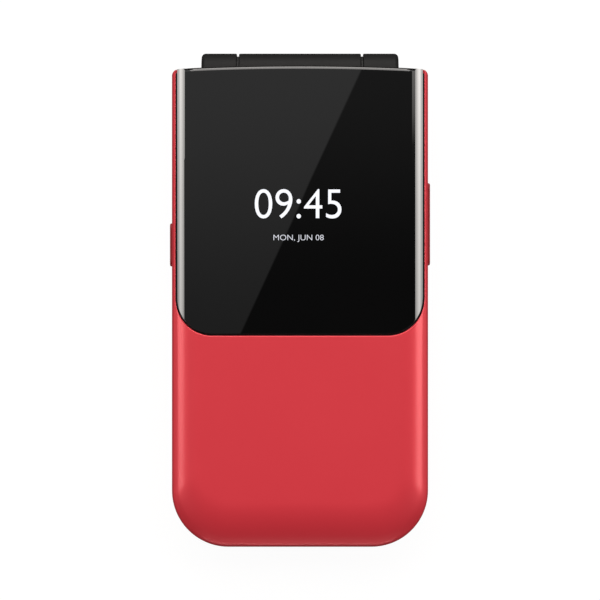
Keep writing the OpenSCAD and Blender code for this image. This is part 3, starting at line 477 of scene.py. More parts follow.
# the lid's shell; its tools pass the phone where they only have to cut through
lid = {"wall": 1.8, "endWall": 2.5, "crown": 25, "rim": 0.25, "lowRim": 0.12}
panel = {"half": 26.0, "low": -7.2, "cornerRadius": 7.5, "cornerSteps": 24, "wrapTo": 15.7, "prismTop": 20,
         "prismEnd": 54, "thick": 1.0, "bed": 1.13, "seam": 0.33, "edge": 0.12, "endEdge": 0.7,
         "tape": 0.1, "tapeAir": 0.01, "tapeBack": 0.3, "seamShadeLow": 15, "seamShadeBack": 1.5}


def panelPrism(grow):
    prism = addBlock((-panel["half"] - grow, panel["half"] + grow), (panel["low"] - grow, panel["prismEnd"]),
                     (panel["wrapTo"], panel["prismTop"]))
    roundUprights(prism, panel["cornerRadius"] + grow, panel["cornerSteps"], lambda p: p.y < 0)
    return prism


def fromPanelLine(place, grow=0.0):    # distance outwards from the panel's outline, in the plan
    radius = panel["cornerRadius"]
    xCorner, yCorner = panel["half"] - radius, panel["low"] + radius
    if place.y > yCorner:
        return abs(place.x) - panel["half"] - grow
    if abs(place.x) < xCorner:
        return panel["low"] - grow - place.y
    return math.hypot(abs(place.x) - xCorner, place.y - yCorner) - radius - grow


def outerLevel(place):    # height of the lid's outside over the middle part
    run = phone["halfWidth"] - phone["lidShrink"] - abs(place.x)
    low, high = 0, 90
    for _ in range(20):
        angle = (low + high) / 2
        low, high = (angle, high) if rollPoint(lidRoll, 0, angle)[0] < run else (low, angle)
    return phone["top"] - rollPoint(lidRoll, 0, 90)[1] + rollPoint(lidRoll, 0, low)[1]


def upperRim(first, second):    # one face stands and the other looks up
    return max(first.z, second.z) > 0.2 and min(abs(first.z), abs(second.z)) < 0.05


def makeLidShell():
    shell = lidForm(0, phone["lidEnd"] + 1)
    cut(shell, endCutter())
    keepWithin(shell, allX, allY, (phone["shellLow"], lid["crown"]))
    cut(shell, phoneForm(lid["wall"], phone["lidEnd"] - lid["endWall"]))
    pocket = panelPrism(panel["seam"])
    cut(pocket, lidForm(panel["bed"], farEnd))
    cut(shell, pocket, hingeRoomTool())
    soften(shell, lid["rim"], 3, lambda p, a, b: abs(fromPanelLine(p, panel["seam"])) < 0.01
           and upperRim(a, b) and p.z > panel["wrapTo"] + 0.2 and p.z > outerLevel(p) - 0.3)
    softenRim(shell, lid["lowRim"], 2, phone["shellLow"], 0.35, 46)
    finishPiece(shell, "lidShell", "lid", "redSatin", ["lid_shell"])


def makeLidPanel():
    skin = lidForm(0, phone["lidEnd"] + 1, panelRoll)
    cut(skin, endCutter())
    cut(skin, panelPrism(0), how="INTERSECT")
    cut(skin, lidForm(panel["thick"], farEnd))
    soften(skin, panel["endEdge"], 4, lambda p, a, b: p.y > 47 and abs(p.x) < 24.5 and max(a.z, b.z) > 0.7
           and min(a.z, b.z) < 0.1)
    soften(skin, panel["edge"], 2, lambda p, a, b: abs(fromPanelLine(p)) < 0.01 and upperRim(a, b)
           and p.y < 47.5)
    finishPiece(skin, "lidPanel", "lid", "panelBlack", ["lid_panel"])


def makeTapeAndSeamShade():    # black mounting tape under the panel; its edge and a rim round the panel's side fill the seam with black, painted shade for the gap
    air = panel["tapeAir"]
    tape = lidForm(panel["thick"] + air, phone["lidEnd"] + 1)
    cut(tape, endCutter(panel["tapeBack"]))
    cut(tape, panelPrism(panel["seam"] - air), how="INTERSECT")
    cut(tape, lidForm(panel["bed"] - air, farEnd))
    # the rim lines the seam round the panel's side: a black strip that stands in for the shade in the gap
    rim = panelPrism(panel["seam"] - air)
    keepWithin(rim, allX, (allY[0], phone["lidEnd"] - panel["seamShadeBack"]),
               (panel["seamShadeLow"], panel["wrapTo"] + panel["tape"]))
    cut(rim, panelPrism(air), lidForm(panel["bed"] - air, farEnd))
    joinTo(tape, rim)
    finishPiece(tape, "panelTapeSeamShade", "lid", "rubberBlack")


# the bezel: window and view are width, length and Y
bezel = {"lip": 0.5, "inner": 2.1, "top": 14.2, "window": (48.5, 80.1, -2.4), "windowTop": 13.75,
         "windowRadius": 4.0, "view": (43.7, 57.9, -0.2), "viewRadius": 0.4, "earpieceY": 39.8,
         "earpiece": (9, 1.3), "earpieceRadius": 0.62, "bumpers": [(19.8, -45.8), (22.8, 39.2)],
         "bumperRadius": 1.75, "bumperTop": 13.3, "toolZ": (12, 16), "rim": 0.1}


def planPlate(inset, z):
    half = phone["halfWidth"] - inset
    plate = addBlock((-half, half), (phone["bottomEnd"] + inset, phone["lidEnd"] + 1), z)
    roundUprights(plate, phone["cornerRadius"] - inset, phone["cornerSteps"], lambda p: p.y < 0)
    return cut(plate, endCutter(inset))


def makeLidBezel():
    low, barrel = bezel["toolZ"][0], hinge["barrelHalf"]
    plate = planPlate(bezel["lip"], (phone["lidLow"], phone["shellLow"]))
    cut(plate, planPlate(bezel["inner"], (phone["shellLow"] - 0.1, bezel["top"])), how="UNION")
    width, length, y = bezel["window"]
    cut(plate, roundBlock(0, y, width, length, (low, bezel["windowTop"]), bezel["windowRadius"]))
    width, length, y = bezel["view"]
    cut(plate, roundBlock(0, y, width, length, bezel["toolZ"], bezel["viewRadius"], 3))
    cut(plate, roundBlock(0, bezel["earpieceY"], *bezel["earpiece"], bezel["toolZ"], bezel["earpieceRadius"]))
    for side in (-1, 1):
        for x, y in bezel["bumpers"]:
            cut(plate, addDisc(bezel["bumperRadius"], side * x, y, (low, bezel["bumperTop"]), 48))
        cut(plate, hingeRod(hinge["radius"] + hinge["gap"], sideSpan(side, (barrel, hinge["roomHalf"]))))
    cut(plate, hingeRod(hinge["radius"] - 0.2, (-barrel - 0.01, barrel + 0.01)))
    softenRim(plate, bezel["rim"], 2, phone["lidLow"])
    finishPiece(plate, "lidBezel", "lid", "deckGrey", ["lid_bezel"])


def roundEnd(rod, x, width, steps):    # rounds the ends of a rod that lie at X or -X
    roundEdges(rod, width, steps, lambda e: not runsAlong(e, 0) and abs(abs(middle(e).x) - x) < 0.01)


def makeBarrel():
    barrel = hingeRod(hinge["radius"], (-hinge["barrelHalf"], hinge["barrelHalf"]))
    roundEnd(barrel, hinge["barrelHalf"], hinge["innerEdge"], 4)
    cut(barrel, hingeRod(hinge["barrelBore"], (-20, 20)))
    finishPiece(barrel, "hingeBarrel", "lid", "hingeGrey", ["lid_bezel"])


makeLidShell()
makeLidPanel()
makeTapeAndSeamShade()
makeLidBezel()
makeBarrel()
print("lid made")

clock = {"time": "09:45", "centre": (-0.4, 20.3), "width": 18.3, "height": 6.2, "weight": -0.006,
         "date": "MON, JUN 08", "dateCentre": (-0.3, 13.0), "dateWidth": 10.6, "dateHeight": 1.55,
         "dateWeight": -0.008, "z": 18.69, "thick": 0.02}


def flatText(words, centre, height, z, width=None, thick=0.03, weight=0.0):
    # text made a mesh, then sized to the given box, in mm; without a width it keeps its proportions
    startFresh()
    bpy.ops.object.text_add(location=(0, 0, 0))
    label = bpy.context.object
    label.data.body = words
    label.data.offset = weight
    label.data.resolution_u = 6
    label.data.extrude = 0.5
    bpy.ops.object.convert(target="MESH")
    label = bpy.context.object
    xs, ys = ([v.co[k] for v in label.data.vertices] for k in (0, 1))
    scaleY = height / (max(ys) - min(ys))
    scaleX = width / (max(xs) - min(xs)) if width else scaleY
    for v in label.data.vertices:
        x = (v.co.x - (max(xs) + min(xs)) / 2) * scaleX
        y = (v.co.y - (max(ys) + min(ys)) / 2) * scaleY
        v.co = ((centre[0] + x) * mm, (centre[1] + y) * mm, (z + (v.co.z + 0.5) * thick) * mm)
    return settle()


def addLabel(name, body, words, centre, height, z, finish="legendWhite", slot="white_plastic", **form):
    finishPiece(flatText(words, centre, height, z, **form), name, body, finish)


addLabel("clockFigures", "lid", clock["time"], clock["centre"], clock["height"], clock["z"], "clockWhite",
         width=clock["width"], thick=clock["thick"], weight=clock["weight"])
addLabel("dateLine", "lid", clock["date"], clock["dateCentre"], clock["dateHeight"], clock["z"], "dateWhite",
         width=clock["dateWidth"], thick=clock["thick"], weight=clock["dateWeight"])

# flange and plunger are the levels of a key's hidden parts, the plunger's after its radius
keypad = {"columns": (-15.6, 0, 15.6), "rows": (-8.4, -18.2, -28.0, -37.8), "size": (14.6, 8.6),
          "radius": 1.6, "cornerX": 18.0, "cornerY": (28.2, 15.4), "cornerSize": (11.2, 9.0),
          "clear": (0, 6.9, 10, 5.4), "ringY": 21.8, "ringRadius": 10.0, "centreRadius": 4.4, "ringGap": 0.9,
          "ringRoom": 1.85, "gap": 0.15, "top": 12.8, "flange": (11.0, 11.35), "flangeWidth": 0.4,
          "plunger": (1.2, 10.87), "travel": 0.3, "edge": 0.3, "border": 0.9, "dish": 0.06,
          "toolZ": (10, 14), "ringToolZ": (9, 15)}
microphone = {"y": -46.8, "radius": 0.5}
digits = {"key_" + {"*": "star", "#": "hash"}.get(digit, digit): digit for digit in "123456789*0#"}
flatKeys = {name: (keypad["columns"][k % 3], keypad["rows"][k // 3], *keypad["size"])
            for k, name in enumerate(digits)}
besideRing = ("soft_key_left", "soft_key_right", "call_key", "end_key", "clear_key")
for k, name in enumerate(besideRing[:4]):
    flatKeys[name] = ((-1, 1)[k % 2] * keypad["cornerX"], keypad["cornerY"][k // 2], *keypad["cornerSize"])
flatKeys["clear_key"] = keypad["clear"]


def ringTool(gap):    # keeps the keys beside the navigation ring clear of it
    return addDisc(keypad["ringRadius"] + gap, 0, keypad["ringY"], keypad["ringToolZ"])


def keyOpenings():
    gap, openings = keypad["gap"], None
    for name, (x, y, width, length) in flatKeys.items():
        tool = roundBlock(x, y, width + 2 * gap, length + 2 * gap, keypad["toolZ"], keypad["radius"] + gap)
        if name in besideRing:
            cut(tool, ringTool(keypad["ringGap"] - gap))
        openings = tool if openings is None else joinTo(openings, tool)
    return joinTo(openings, addDisc(keypad["ringRadius"] + gap, 0, keypad["ringY"], keypad["toolZ"]))


def makeKeypadFrame():
    deck = planPlate(phone["deckShrink"], (phone["seam"], phone["deck"]))
    cut(deck, keyOpenings(), addDisc(microphone["radius"], 0, microphone["y"], keypad["toolZ"], 24),
        openLidRoom(), hingeRoomTool())
    softenRim(deck, 0.14, 3, phone["deck"])
    softenRim(deck, 0.1, 2, phone["seam"], 0.15)
    finishPiece(deck, "keypadDeck", "base", "deckGrey", ["keypad_frame"])


def makeKnuckles():
    for side, label, bore in ((-1, "Left", hinge["boreLeft"]), (1, "Right", hinge["boreRight"])):
        ends = sideSpan(side, hinge["knuckle"])
        knuckle = hingeRod(hinge["radius"], ends)
        roundEnd(knuckle, hinge["knuckle"][1], hinge["outerEdge"], 6)
        roundEnd(knuckle, hinge["knuckle"][0], hinge["innerEdge"], 4)
        cut(knuckle, hingeRod(bore, sideSpan(side, hinge["boreX"])))
        cut(knuckle, addBlock(ends, hinge["webY"], (phone["seam"], phone["deck"])), how="UNION")
        finishPiece(knuckle, "knuckle" + label, "base", "hingeGrey", ["keypad_frame"])


def fromHingeLine(place):
    return math.hypot(place.y - hinge["y"], place.z - hinge["z"])


def makeWashers():    # they stand in the gaps between barrel and knuckles
    air, radius = hinge["washerAir"], hinge["radius"] - hinge["washerInset"]
    for side, label in ((-1, "Left"), (1, "Right")):
        ends = sideSpan(side, (hinge["barrelHalf"] + air, hinge["knuckle"][0] - air))
        washer = hingeRod(radius, ends)
        cut(washer, hingeRod(hinge["washerBore"], (-20, 20)))
        roundEdges(washer, hinge["washerEdge"], 2,
                   lambda e: not runsAlong(e, 0) and fromHingeLine(middle(e)) > radius - 0.2)
        finishPiece(washer, "hingeWasher" + label, "base", "rubberBlack")


# the base: rooms as X, Y and Z spans, camera and flash as X, Y and radius, jack as X, Z and radius, socket as
# width, height and Z; the cover laps round the bottom of the housing
base = {"coverEnd": 27.0, "coverWrap": 4.2, "coverThick": 1.1, "coverGap": 0.05, "wall": 1.6, "floor": 7.6,
        "endCorner": 1.6, "cavityEnd": 41.85, "backRound": 5.0, "backRoundY": 43.2, "below": -5, "rim": 0.12,
        "rooms": [((-24.6, 24.6), (28, 41.8), (1.9, 8)), ((-17.5, 17.5), (-49.2, -34.2), (3.0, 8))],
        "bay": (0, -6.0, 43.6, 52.6), "bayZ": (-2, 6.9), "camera": (0, 34.2, 4.3), "cameraStep": (0.85, 0.8),
        "flash": (9, 34.2, 1.5), "backZ": (-2, 4), "jack": (-11.5, 6.75, 2.6), "jackY": (-54, -48),
        "socket": (8.2, 3.1, 8.15), "socketCorner": 0.8, "notch": 1.4, "notchY": (-55.4, -49.4)}
speaker = {"x": -14.4, "y": 34.2, "slots": 7, "pitch": 1.5, "slotWidth": 0.8, "length": 7, "radius": 0.395}
# the side keys: volume and emergency as Y and length, the X spans on the right side of the phone
sideKey = {"volume": (16.2, 17.6), "emergency": (11.8, 9.2), "z": 7.85, "height": 2.8, "corner": 1.1,
           "gap": 0.15, "slotX": (24.2, 30), "x": (25.1, 27.82), "border": 0.5, "edge": 0.3,
           "flangeX": (25.1, 25.55), "flangeReach": 0.4, "flangeRise": 1.8, "roomX": (24.7, 25.6),
           "roomReach": 0.55, "roomZ": (5.9, 11.5), "grooveX": (27.45, 28.5), "grooveHalf": 0.25,
           "grooveZ": (5, 11)}


def sideForm(side, y, length, grow, x):    # the rounded bar of a side key, or with grow its opening
    half, run = sideKey["height"] / 2 + grow, length / 2 + grow
    form = addBlock(sideSpan(side, x), (y - run, y + run), (sideKey["z"] - half, sideKey["z"] + half))
    roundEdges(form, sideKey["corner"] + grow / 2, 8, lambda e: runsAlong(e, 0))
    return form


def cutSideSlots(shell):
    places = ((1, sideKey["volume"]), (-1, sideKey["emergency"]))
    for side, (y, length) in places:
        cut(shell, sideForm(side, y, length, sideKey["gap"], sideKey["slotX"]))
    for side, (y, length) in places:
        run = length / 2 + sideKey["roomReach"]
        cut(shell, addBlock(sideSpan(side, sideKey["roomX"]), (y - run, y + run), sideKey["roomZ"]))


def cutEndSockets(shell):
    x, z, radius = base["jack"]
    cut(shell, addPin(radius, x, base["jackY"], z, 64))
    width, height, z = base["socket"]
    socket = addBlock((-width / 2, width / 2), base["jackY"], (z - height / 2, z + height / 2))
    roundEdges(socket, base["socketCorner"], 6, lambda e: runsAlong(e, 1))
    cut(shell, socket)


def cutBackOpenings(shell):
    x, y, radius = base["camera"]
    stepZ, stepIn = base["cameraStep"]
    low, high = base["backZ"]
    cut(shell, addDisc(radius + base["coverGap"], x, y, (low, stepZ)))
    cut(shell, addDisc(radius - stepIn, x, y, (low, high)))
    x, y, radius = base["flash"]
    cut(shell, addDisc(radius + base["coverGap"], x, y, (low, high), 48))
    half = speaker["slots"] // 2
    for k in range(-half, half + 1):
        cut(shell, roundBlock(speaker["x"] + speaker["pitch"] * k, speaker["y"], speaker["slotWidth"],
                              speaker["length"] - abs(k), (low, high), speaker["radius"], 6))


def makeRearHousing():
    shell, half, below = copyOf(whole), phone["halfWidth"], base["below"]
    keepWithin(shell, allX, allY, (below, phone["seam"]))
    keep = addBlock((-half, half), (allY[0] - 10, phone["baseEnd"]), (below, 20))
    roundUprights(keep, base["endCorner"], 8, lambda p: p.y > 0)
    cut(shell, keep, how="INTERSECT")
    under = addBlock(allX, (base["backRoundY"], allY[1]), (below, base["backRound"]))
    cut(under, addRod(base["backRound"], (-50, 50), base["backRoundY"], base["backRound"], 96))
    cut(shell, under, openLidRoom(), hingeRoomTool())
    skirt = addBlock(allX, (allY[0], base["coverEnd"] + base["coverGap"]),
                     (below, base["coverWrap"] + base["coverGap"]))
    cut(skirt, phoneForm(base["coverThick"] + base["coverGap"], farEnd))
    cut(shell, skirt)
    room = phoneForm(base["wall"], base["cavityEnd"])
    keepWithin(room, allX, allY, (base["floor"], lid["crown"]))
    cut(shell, room)
    for spans in base["rooms"]:
        cut(shell, addBlock(*spans))
    cut(shell, roundBlock(*base["bay"], base["bayZ"], 1.0, 4))
    cutEndSockets(shell)
    cutSideSlots(shell)
    cutBackOpenings(shell)
    softenRim(shell, base["rim"], 2, phone["seam"], 0.1)
    soften(shell, base["rim"], 2, lambda p, a, b: level(p, 0) and wallAndFlat(a, b) and 29 < p.y < 40
           and abs(p.x) < 20)
    soften(shell, 0.15, 2, lambda p, a, b: planDepth(p) < 0.01 and 5.5 < p.z < 10 and p.y < 26
           and max(abs(a.x), abs(b.x)) > 0.9 and min(abs(a.x), abs(b.x)) < 0.5)
    finishPiece(shell, "rearHousing", "base", "redSatin", ["rear_housing"])


def makeBatteryCover():
    cover = copyOf(whole)
    keepWithin(cover, allX, (allY[0], base["coverEnd"]), (base["below"], base["coverWrap"]))
    cut(cover, phoneForm(base["coverThick"], farEnd))
    cut(cover, addPin(base["notch"], 0, base["notchY"], base["coverWrap"], 48))
    softenRim(cover, base["rim"], 2, base["coverWrap"], 0.1)
    soften(cover, base["rim"], 2, lambda p, a, b: abs(p.y - base["coverEnd"]) < 0.001 and max(a.y, b.y) > 0.9
           and min(a.z, b.z) < -0.1)
    finishPiece(cover, "batteryCover", "base", "redSatin", ["battery_cover"])


makeKeypadFrame()
makeKnuckles()
makeWashers()
makeRearHousing()
makeBatteryCover()
print("base made")


def pieceName(body, part):
    return body.replace("_", "") + part


def makePlunger(x, y):    # stays just above its dome when the key is down
    radius, low = keypad["plunger"]
    return addDisc(radius, x, y, (low, keypad["flange"][0] + 0.05), 32)


def makeFlatKey(name, x, y, width, length):
    cap = roundBlock(x, y, width, length, (keypad["flange"][0], keypad["top"]), keypad["radius"])
    if name in besideRing:
        cut(cap, ringTool(keypad["ringGap"]))
    insetFace(cap, keypad["border"], lambda f: f.normal.z > 0.9)
    bpy.ops.transform.translate(value=(0, 0, -keypad["dish"] * mm))
    roundEdges(cap, keypad["edge"], 3, lambda e: level(middle(e), keypad["top"]))
    grow = 2 * keypad["flangeWidth"]
    flange = roundBlock(x, y, width + grow, length + grow, keypad["flange"], keypad["radius"])
    if name in besideRing:
        cut(flange, ringTool(keypad["ringRoom"]))
    joinTo(cap, flange, makePlunger(x, y))
    finishPiece(cap, pieceName(name, "Cap"), name, "keyBlack", [name])


def spinProfile(outline, y):    # outline of (radius, height) pairs, turned about the upright line at y
    startFresh()
    bpy.ops.mesh.primitive_circle_add(vertices=len(outline), radius=1, fill_type="NGON", location=(0, 0, 0))
    ring = settle()
    for v, (radius, height) in zip(ring.data.vertices, outline):
        v.co = (radius * mm, y * mm, height * mm)
    pick(ring, "FACE", lambda f: True)
    bpy.ops.mesh.spin(steps=96, angle=2 * math.pi, center=(0, y * mm, 0), axis=(0, 0, 1), use_auto_merge=True)
    bpy.ops.mesh.select_all(action="SELECT")
    bpy.ops.mesh.remove_doubles(threshold=1e-6)
    bpy.ops.mesh.delete_loose()
    faceOutwards()
    return ring


def quarter(cx, cz, r, start, steps=5):    # a quarter of a circle in a profile
    angles = [math.radians(start + 90 * k / steps) for k in range(steps + 1)]
    return [(cx + r * math.cos(angle), cz + r * math.sin(angle)) for angle in angles]


# room is how wide the ring's hollow over the centre key's flange is
ringForm = {"room": 0.55, "clear": 0.06, "outerRound": 0.45, "innerRound": 0.35, "centreBorder": 0.5,
            "centreRound": 0.35}


def makeRing():
    low, step = keypad["flange"]
    inner, outer, top = keypad["centreRadius"] + keypad["gap"], keypad["ringRadius"], keypad["top"]
    over = step + keypad["travel"] + ringForm["clear"]    # clears the centre key with the ring down
    hollow, flange = inner + ringForm["room"], outer + keypad["flangeWidth"]
    outline = [(inner, over), (hollow, over), (hollow, low), (flange, low), (flange, step), (outer, step)]
    for x, r, start in ((outer - ringForm["outerRound"], ringForm["outerRound"], 0),
                        (inner + ringForm["innerRound"], ringForm["innerRound"], 90)):
        outline += quarter(x, top - r, r, start)
    ring = spinProfile(outline, keypad["ringY"])
    finishPiece(ring, "navigationRing", "navigation_ring", "keySilver", ["navigation_ring"])


def makeCentreKey():
    radius, y, top = keypad["centreRadius"], keypad["ringY"], keypad["top"]
    button = addDisc(radius, 0, y, (keypad["flange"][0], top))
    insetFace(button, ringForm["centreBorder"], lambda f: f.normal.z > 0.9)
    roundEdges(button, ringForm["centreRound"], 4, lambda e: level(middle(e), top)
               and math.hypot(middle(e).x, middle(e).y - y) > radius - 0.1)
    joinTo(button, addDisc(radius + keypad["flangeWidth"], 0, y, keypad["flange"]), makePlunger(0, y))
    finishPiece(button, "centreButton", "centre_key", "keySilver", ["centre_key"])


def makeSideKey(name, body, side, y, length, grooved=False):
    half, out = sideKey["height"] / 2, sideKey["x"][1]
    key = sideForm(side, y, length, 0.0, sideKey["x"])
    insetFace(key, sideKey["border"], lambda f: f.normal.x * side > 0.9)
    roundEdges(key, sideKey["edge"], 4, lambda e: abs(abs(middle(e).x) - out) < 0.001
               and (abs(abs(middle(e).z - sideKey["z"]) - half) < 0.35
                    or abs(middle(e).y - y) > length / 2 - 0.35))
    if grooved:    # a notch parts the two ends of the rocker
        cut(key, addBlock(sideSpan(side, sideKey["grooveX"]),
                          (y - sideKey["grooveHalf"], y + sideKey["grooveHalf"]), sideKey["grooveZ"]))
    run, rise = length / 2 + sideKey["flangeReach"], sideKey["flangeRise"]
    joinTo(key, addBlock(sideSpan(side, sideKey["flangeX"]), (y - run, y + run),
                         (sideKey["z"] - rise, sideKey["z"] + rise)))
    finishPiece(key, name, body, "redKey", [body])


for name, place in flatKeys.items():
    makeFlatKey(name, *place)
makeRing()
makeCentreKey()
makeSideKey("volumeRocker", "volume_key", 1, *sideKey["volume"], grooved=True)
makeSideKey("emergencyButton", "emergency_key", -1, *sideKey["emergency"])
print("keys made")

# the legends: heights of the figures that aren't as high as the others, and the letters with their heights
figureHeights = {"*": 2.6, "#": 3.4}
letters = {"2": ("abc", 1.9), "3": ("def", 1.9), "4": ("ghi", 2.5), "5": ("jkl", 2.5), "6": ("mno", 1.4),
           "7": ("pqrs", 2.0), "8": ("tuv", 1.8), "9": ("wxyz", 1.9), "0": ("+", 1.5)}
legend = {"z": keypad["top"] - keypad["dish"] - 0.01, "thick": 0.03, "height": 3.9, "apart": 2.6,
          "weight": 0.01, "clearHeight": 2.3, "centreHeight": 1.7, "shift": 0.8}
for name, digit in digits.items():
    x, y = flatKeys[name][:2]
    shift = legend["apart"] if digit in letters else 0
    addLabel(pieceName(name, "Figure"), name, digit, (x - shift, y),
             figureHeights.get(digit, legend["height"]), legend["z"], weight=legend["weight"])
    if shift:
        small, height = letters[digit]
        addLabel(pieceName(name, "Letters"), name, small, (x + shift, y - 0.2), height, legend["z"])


def turnAndMove(mark, turn, shift):
    pick(mark, "VERT", lambda v: True)
    bpy.ops.transform.rotate(value=math.radians(turn), orient_axis="Z", center_override=(0, 0, 0))
    bpy.ops.transform.translate(value=[value * mm for value in shift])
    leaveEdit()
    return mark


def handset(x, y, turn):    # a small receiver: half a ring with two ends
    z = (0, legend["thick"])
    mark = addDisc(2.2, 0, 0, z, 48)
    cut(mark, addDisc(1.5, 0, -0.1, (-1, 1), 48), addBlock((-4, 4), (-4, 0.35), (-1, 1)))
    for side in (-1, 1):
        joinTo(mark, roundBlock(side * 1.75, 0.25, 1.15, 1.1, z, 0.3, 4))
    return turnAndMove(mark, turn, (x, y, legend["z"]))


def arrowHead(radius, turn, z):    # points away from the ring's middle
    half = legend["thick"] / 2
    mark = addDisc(0.75, 0, radius, (z - half, z + half), 3)
    return turnAndMove(mark, turn, (0, keypad["ringY"], 0))


for name, side, turn, finish in (("call_key", -1, -45, "legendGreen"), ("end_key", 1, 0, "legendRed")):
    x, y = flatKeys[name][:2]
    mark = handset(x + side * legend["shift"], y - legend["shift"], turn)
    finishPiece(mark, pieceName(name, "Mark"), name, finish)
for name, side in (("soft_key_left", -1), ("soft_key_right", 1)):
    x, y = flatKeys[name][:2]
    bar = roundBlock(x + side * legend["shift"], y + 0.5, 3.2, 0.6,
                     (legend["z"], legend["z"] + legend["thick"]), 0.25, 3)
    finishPiece(bar, pieceName(name, "Mark"), name, "legendWhite")
addLabel("clearkeyMark", "clear_key", "C", flatKeys["clear_key"][:2], legend["clearHeight"], legend["z"])
addLabel("centrekeyMark", "centre_key", "OK", (0, keypad["ringY"]), legend["centreHeight"],
         keypad["top"] - 0.01, "deckGrey", "grey_plastic")
for k, way in enumerate(("Up", "Left", "Down", "Right")):
    mark = arrowHead(7.4, 90 * k, keypad["top"] + 0.005)
    finishPiece(mark, "ringMark" + way, "navigation_ring", "deckGrey")
print("legends made")

cadFinish = {
    "steel": ["lid_magnet", "lid_screws", "hinge_cartridge", "hinge_spring", "hinge_shaft", "shield_can",
              "sim_holder", "side_switches", "vibration_motor", "charging_socket", "base_screws",
              "speaker_mesh", "earpiece_mesh"],
    "ivory": ["hinge_sleeve"],
    "boardGreen": ["lid_board", "main_board"],
    "gold": ["battery_contacts", "microphone"],
    "film": ["lid_flex", "base_flex", "antenna"],
    "domeFilm": ["dome_sheet"],
    "blackPlastic": ["earpiece", "loudspeaker", "camera_module", "headset_jack"],
    "batteryWrap": ["battery"],
    "rubberBlack": ["lid_bumpers"],
    "lensClear": ["flash_led"],
    "windowBlack": ["display_window", "camera_window"],
    "displayGlass": ["outer_display", "main_display"],
}
for finish, names in cadFinish.items():
    for name in names:
        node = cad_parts[name]
        node.data.materials.clear()
        node.data.materials.append(materials[finish])

bpy.data.objects.remove(whole)

# the studio, in metres; frameWidth and frameLevel in mm say how much the camera sees at that height
studio = {"floor": 6.0, "floorGlow": 0.95, "cameraLens": 200, "sensor": 36, "frameWidth": 127.5,
          "frameLevel": 13.7, "sideDistance": 0.9, "sidePower": 10.0, "rightGain": 1.16,
          "warm": (1.0, 0.965, 0.93)}
# the sky: (from, to) along one axis of the view direction, then the levels there
sky = {"level": 0.26, "front": (-0.75, 0.45, 0.1, 1), "horizon": (0.25, 0.7, 0.05, 1),
       "sides": (0.15, 0.75, 1, 3.6), "overhead": (0.11, 0.3, 1, 0), "slant": 0.455, "slantFrom": -0.0131,
       "slantSoft": 0.0004, "bright": (-0.02, 0.075, 0.125, 0.31), "dark": (0.0, 0.08, 0.014, 0.09),
       "seen": 0.95}
# brightness up the side cards, from their second step on, and along them: (place, level)
sideUp = ((0.18, 0.4), (0.3, 0.46), (0.4, 0.56), (0.5, 0.82), (0.6, 0.9), (0.74, 0.77), (0.85, 0.6), (1, 0.4))
sideAlong = ((0, 0.6), (0.34, 0.65), (0.5, 0.78), (0.67, 1))
even = ((0, 1), (1, 1))
cards = {
    "keyCard": {"place": (0, 0.57, 0.82), "size": (1.2, 0.8), "radiance": 2.6},
    "backCard": {"place": (0, 0.9, 0.28), "size": (0.6, 0.4), "radiance": 5.0},
    "frontCard": {"place": (0, -0.9, 0.075), "size": (0.8, 0.12), "radiance": 6.0},
    "cornerCard": {"place": (0.65, 0.16, 0.625), "target": (0, 0.16, 0.02), "size": (0.2, 0.17),
                   "radiance": 1.55, "along": ((0, 0), (0.07, 0.02), (0.15, 0.5), (0.3, 1))},
}


def makeFloor():
    # a pale sheet that glows to the camera, so its far parts stay white
    startFresh()
    bpy.ops.mesh.primitive_plane_add(size=studio["floor"], location=(0, 0, -0.2 * mm))
    floor = settle()
    floor.name = "floor"
    sheet = materials["paleFloor"]
    tree = sheet.node_tree
    seen = tree.nodes.new("ShaderNodeLightPath").outputs["Is Camera Ray"]
    tree.links.new(maths(tree, "MULTIPLY", seen, studio["floorGlow"]),
                   tree.nodes["Principled BSDF"].inputs["Emission Strength"])
    floor.data.materials.append(sheet)


def addCard(name, place, size, radiance, up=even, along=even, target=(0, 0, 0.02)):
    # a soft rectangular light that faces its target; up and along give its brightness in these directions
    startFresh()
    bpy.ops.object.light_add(type="AREA", location=place)
    card = bpy.context.object
    card.name = name
    card.data.shape = "RECTANGLE"
    card.data.size, card.data.size_y = size
    card.data.energy = radiance * math.pi * size[0] * size[1]
    card.data.color = studio["warm"]
    card.rotation_euler = (Vector(place) - Vector(target)).to_track_quat("Z", "Y").to_euler()
    card.visible_camera = False
    card.data.use_nodes = True
    tree = card.data.node_tree
    across, split = tree.nodes.new("ShaderNodeNewGeometry"), tree.nodes.new("ShaderNodeSeparateXYZ")
    tree.links.new(across.outputs["Parametric"], split.inputs["Vector"])
    levels = [ramp(tree, split.outputs[axis], stops) for axis, stops in (("Y", up), ("X", along))]
    tree.links.new(maths(tree, "MULTIPLY", *levels), tree.nodes["Emission"].inputs["Strength"])


def makeCards():
    for side, label, gain, low in ((-1, "Left", 1, 0.05), (1, "Right", studio["rightGain"], 0.36)):
        along = sideAlong if side > 0 else [(1 - at, strength) for at, strength in reversed(sideAlong)]
        addCard("sideCard" + label, (side * studio["sideDistance"], 0.05, 0.308), (0.4, 0.605),
                studio["sidePower"] * gain, ((0, low), (0.12, low + 0.05), *sideUp), along, (0, 0.05, 0.02))
    for name, card in cards.items():
        addCard(name, **card)


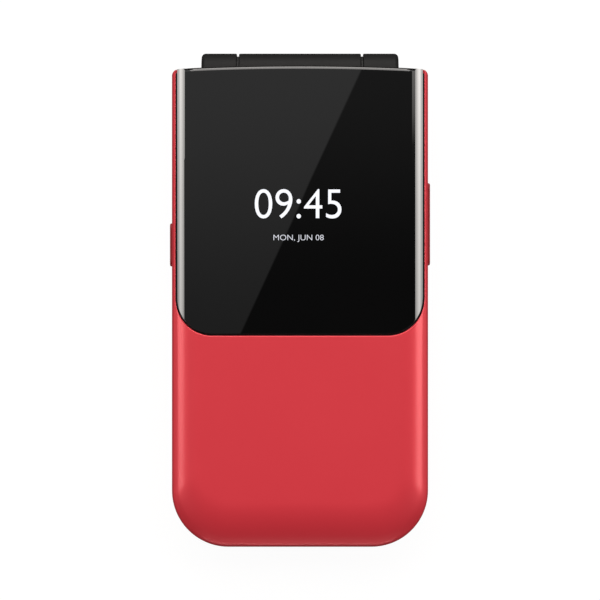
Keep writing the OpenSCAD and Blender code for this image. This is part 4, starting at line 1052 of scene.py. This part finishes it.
def makeSky():
    # even air, dark overhead where the camera hangs, dimmer at the bottom end, and one slanted edge of light
    world = bpy.data.worlds.new("studioAir")
    bpy.context.scene.world = world
    world.use_nodes = True
    tree = world.node_tree

    def blend(value, low, high, fromLevel, toLevel):
        node = tree.nodes.new("ShaderNodeMapRange")
        node.interpolation_type = "SMOOTHSTEP"
        tree.links.new(value, node.inputs["Value"])
        setInputs(node, {"From Min": low, "From Max": high, "To Min": fromLevel, "To Max": toLevel})
        return node.outputs["Result"]

    direction, split = tree.nodes.new("ShaderNodeTexCoord"), tree.nodes.new("ShaderNodeSeparateXYZ")
    tree.links.new(direction.outputs["Generated"], split.inputs["Vector"])
    x, y, z = (split.outputs[k] for k in "XYZ")
    air = maths(tree, "MULTIPLY", blend(y, *sky["front"]), sky["level"])
    air = maths(tree, "MULTIPLY", air, blend(z, *sky["horizon"]))
    air = maths(tree, "MULTIPLY", air, blend(maths(tree, "ABSOLUTE", x), *sky["sides"]))
    overhead = blend(maths(tree, "ABSOLUTE", y), *sky["overhead"])
    slant = maths(tree, "SUBTRACT", maths(tree, "MULTIPLY_ADD", y, sky["slant"], sky["slantFrom"]), x)
    bright, dark = blend(y, *sky["bright"]), blend(y, *sky["dark"])
    lit = blend(slant, -sky["slantSoft"], sky["slantSoft"], 0, 1)
    strip = maths(tree, "MULTIPLY_ADD", lit, maths(tree, "SUBTRACT", bright, dark), dark)
    mixed = maths(tree, "MULTIPLY_ADD", maths(tree, "SUBTRACT", strip, air), overhead, air)
    seen = tree.nodes.new("ShaderNodeLightPath").outputs["Is Camera Ray"]
    background = tree.nodes["Background"]
    tree.links.new(maths(tree, "MAXIMUM", mixed, maths(tree, "MULTIPLY", seen, sky["seen"])),
                   background.inputs["Strength"])
    background.inputs["Color"].default_value = (1, 1, 1, 1)


makeFloor()
makeSky()
makeCards()

bpy.ops.object.camera_add(location=(0, 0, 0))
camera = bpy.context.object
camera.data.lens = studio["cameraLens"]
camera.data.sensor_width = studio["sensor"]
away = studio["frameWidth"] * studio["cameraLens"] / studio["sensor"]
camera.location = (0, 0, (away + studio["frameLevel"]) * mm)
camera.data.clip_start, camera.data.clip_end = 0.05, 20
bpy.context.scene.camera = camera
bpy.context.scene.view_settings.view_transform = "Standard"
bpy.context.scene.view_settings.look = "None"
print("studio made")

startFresh()
bpy.context.view_layer.update()
